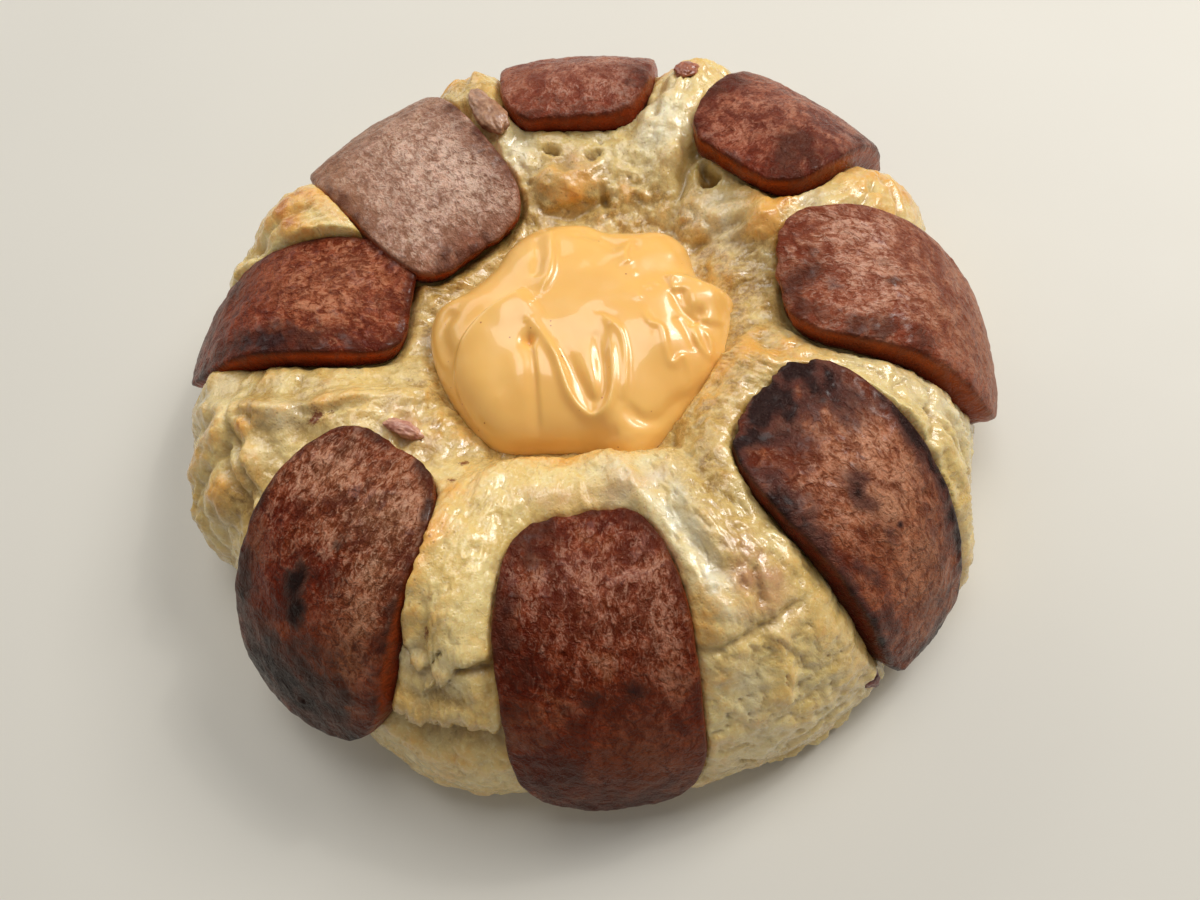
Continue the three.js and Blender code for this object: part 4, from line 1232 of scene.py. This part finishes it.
def tones(dark, mid, light, pale, char_and_shade, wall, gloss, red=(150, 58, 26), tan=(158, 96, 66),
          foot=(110, 30, 10), deep=(72, 32, 20)):
    """The colours of a slice: its meat, its painted glints (light), its char, which also paints shade at its
    outer end, its wall from top to foot, and its gloss.
    """
    names = ("dark", "mid", "light", "pale", "char_and_shade", "wall", "red", "tan", "foot", "deep")
    given = (dark, mid, light, pale, char_and_shade, wall, red, tan, foot, deep)
    return dict({name: srgb(*colour) for name, colour in zip(names, given)}, gloss=gloss)


# The third colour of each slice is its painted glint colour, and its char colour also paints shade at the
# outer end.
MEAT_TONES = [
    tones((78, 18, 3), (130, 52, 20), (200, 150, 126), (152, 92, 62), (44, 16, 14), (150, 60, 24), 0.3,
          red=(112, 28, 8), tan=(134, 78, 46)),
    tones((70, 18, 4), (136, 62, 28), (212, 166, 138), (168, 110, 72), (24, 8, 6), (146, 60, 24), 0.4,
          red=(108, 22, 4), tan=(140, 74, 38), deep=(62, 40, 32)),
    tones((84, 22, 8), (142, 60, 28), (204, 142, 108), (184, 110, 70), (46, 16, 14), (176, 70, 24), 0.35,
          red=(132, 44, 16), tan=(142, 74, 42)),
    tones((128, 84, 62), (168, 122, 98), (230, 200, 180), (214, 176, 154), (92, 34, 24), (172, 70, 28), 0.6,
          tan=(146, 100, 64)),
    tones((106, 40, 24), (156, 90, 64), (210, 166, 148), (190, 132, 106), (70, 26, 18), (160, 66, 26), 0.35,
          tan=(150, 92, 66)),
    tones((92, 32, 18), (152, 84, 58), (200, 142, 116), (174, 104, 78), (52, 20, 18), (172, 82, 32), 0.3,
          tan=(156, 100, 74)),
    tones((110, 44, 24), (160, 94, 62), (224, 180, 158), (186, 124, 96), (66, 24, 16), (166, 78, 34), 0.35,
          tan=(162, 108, 80)),
    tones((92, 34, 16), (164, 94, 58), (210, 158, 130), (196, 136, 98), (34, 18, 18), (120, 32, 12), 0.4,
          red=(156, 78, 46), foot=(96, 18, 6), deep=(84, 50, 44)),
]


def sauce_finish():
    finish = Finish("orange_sauce", {
        "Roughness": 0.3, "Subsurface Weight": 0.3, "Subsurface Radius": (1.0, 0.7, 0.35),
        "Subsurface Scale": 0.004, "Coat Weight": 0.5, "Coat Roughness": 0.03})
    cloud = finish.noise(14, 2)
    colour = finish.mix(finish.window(cloud, 0.3, 0.7), srgb(246, 188, 100), srgb(249, 194, 107))
    specks = 1 - finish.window(finish.cells(5.0), 0.03, 0.07)
    colour = finish.mix(specks * 0.8, colour, srgb(176, 84, 40))
    finish.bump(finish.noise(5, 2), 0.06, 0.5)
    return finish.into(Base_Color=colour)


SCRAP_TONES = {
    "hood": ((132, 66, 42), (178, 104, 70)), "back": ((150, 104, 74), (190, 142, 106)),
    "front": ((84, 24, 14), (128, 48, 28)), "side": ((176, 114, 94), (210, 158, 132)),
}


def scrap_finish(name):
    finish = Finish(name, {
        "Subsurface Weight": 0.1, "Subsurface Radius": (1.0, 0.4, 0.3),
        "Subsurface Scale": 0.002, "Coat Weight": 0.4, "Coat Roughness": 0.2})
    deep, light = (srgb(*colour) for colour in SCRAP_TONES[name.split("_")[-1]])
    mottle = finish.noise(2.2, 4, 0.6)
    colour = finish.mix(finish.window(mottle, 0.35, 0.65), deep, light)
    finish.bump(mottle, 0.5, 0.5)
    return finish.into(Base_Color=colour, Roughness=0.3 + mottle * 0.2)


def table_finish():
    finish = Finish("pale_table", {"Specular IOR Level": 0.3})
    colour = finish.mix(finish.noise(160, 2), srgb(216, 212, 202), srgb(222, 218, 208))
    return finish.into(Base_Color=colour, Roughness=0.55 + finish.noise(30, 2) * 0.1)


# ---- camera, lights and floor -------------------------------------------------------

# Where the camera stands over the pie, and its axes: to its right, up and back.
CAMERA_PLACE = (0.92, -139.7, 255.7)
CAMERA_RIGHT = (0.97722, -0.19115, -0.09217)
CAMERA_UP = (0.21221, 0.87917, 0.42665)
CAMERA_BACK = (-0.00052, -0.43649, 0.89971)
SENSOR = 36.0
LENS = 27.06


def build_camera():
    data = bpy.data.cameras.new("camera")
    data.sensor_width = SENSOR
    data.lens = LENS
    data.clip_start = 0.01
    data.clip_end = 20
    camera = bpy.data.objects.new("camera", data)
    axes = Matrix((CAMERA_RIGHT, CAMERA_UP, CAMERA_BACK)).transposed().to_4x4()
    camera.matrix_world = Matrix.Translation(Vector(CAMERA_PLACE) * MM) @ axes
    bpy.context.scene.collection.objects.link(camera)
    bpy.context.scene.camera = camera


# Lights: name, place, aim, size, power, colour.
LIGHTS = [
    ("key", (0.85, 0.42, 0.95), (0, 0, 0.03), (0.5, 0.5), 9.6, (1.0, 0.985, 0.96)),
    ("spark", (0.80, 0.40, 1.00), (0, 0, 0.03), (0.07, 0.07), 1.2, (1.0, 0.985, 0.96)),
    ("lamp", (0.05, 0.40, 1.40), (0, 0, 0.03), (0.7, 0.7), 6.2, (1.0, 0.99, 0.97)),
    ("window", (-0.55, 1.20, 0.75), (0, 0, 0.03), (1.6, 0.6), 5.0, (1.0, 0.99, 0.97)),
]
WORLD = 0.25
WORLD_COLOUR = (1.0, 0.985, 0.96, 1)
# Metres from the middle of the floor to its sides.
FLOOR_REACH = 3.0


def build_light(name, place, aim, size, power, colour):
    data = bpy.data.lights.new(name, "AREA")
    data.shape = "RECTANGLE"
    data.size, data.size_y = size
    data.energy = power
    data.color = colour
    light = bpy.data.objects.new(name, data)
    light.location = place
    light.rotation_euler = (Vector(place) - Vector(aim)).to_track_quat("Z", "Y").to_euler()
    bpy.context.scene.collection.objects.link(light)


def build_floor():
    bm = bmesh.new()
    bmesh.ops.create_grid(bm, x_segments=8, y_segments=8, size=FLOOR_REACH)
    floor = finish_mesh(bm, "floor")
    floor.data.materials.append(table_finish())


def build_studio():
    build_floor()
    build_camera()
    for light in LIGHTS:
        build_light(*light)
    world = bpy.data.worlds.new("room")
    bpy.context.scene.world = world
    world.use_nodes = True
    background = world.node_tree.nodes["Background"]
    background.inputs["Color"].default_value = WORLD_COLOUR
    background.inputs["Strength"].default_value = WORLD
    bpy.context.scene.view_settings.view_transform = "Standard"


# ---- the pie ------------------------------------------------------------------------


def build_pie():
    build_bread().data.materials.append(dough_finish())
    for index in range(len(SLICES)):
        build_slice(index).data.materials.append(meat_finish(index))
    build_sauce().data.materials.append(sauce_finish())
    for seed, scrap in enumerate(SCRAPS):
        build_scrap(*scrap, 300 + seed).data.materials.append(scrap_finish(scrap[0]))


build_studio()
build_pie()
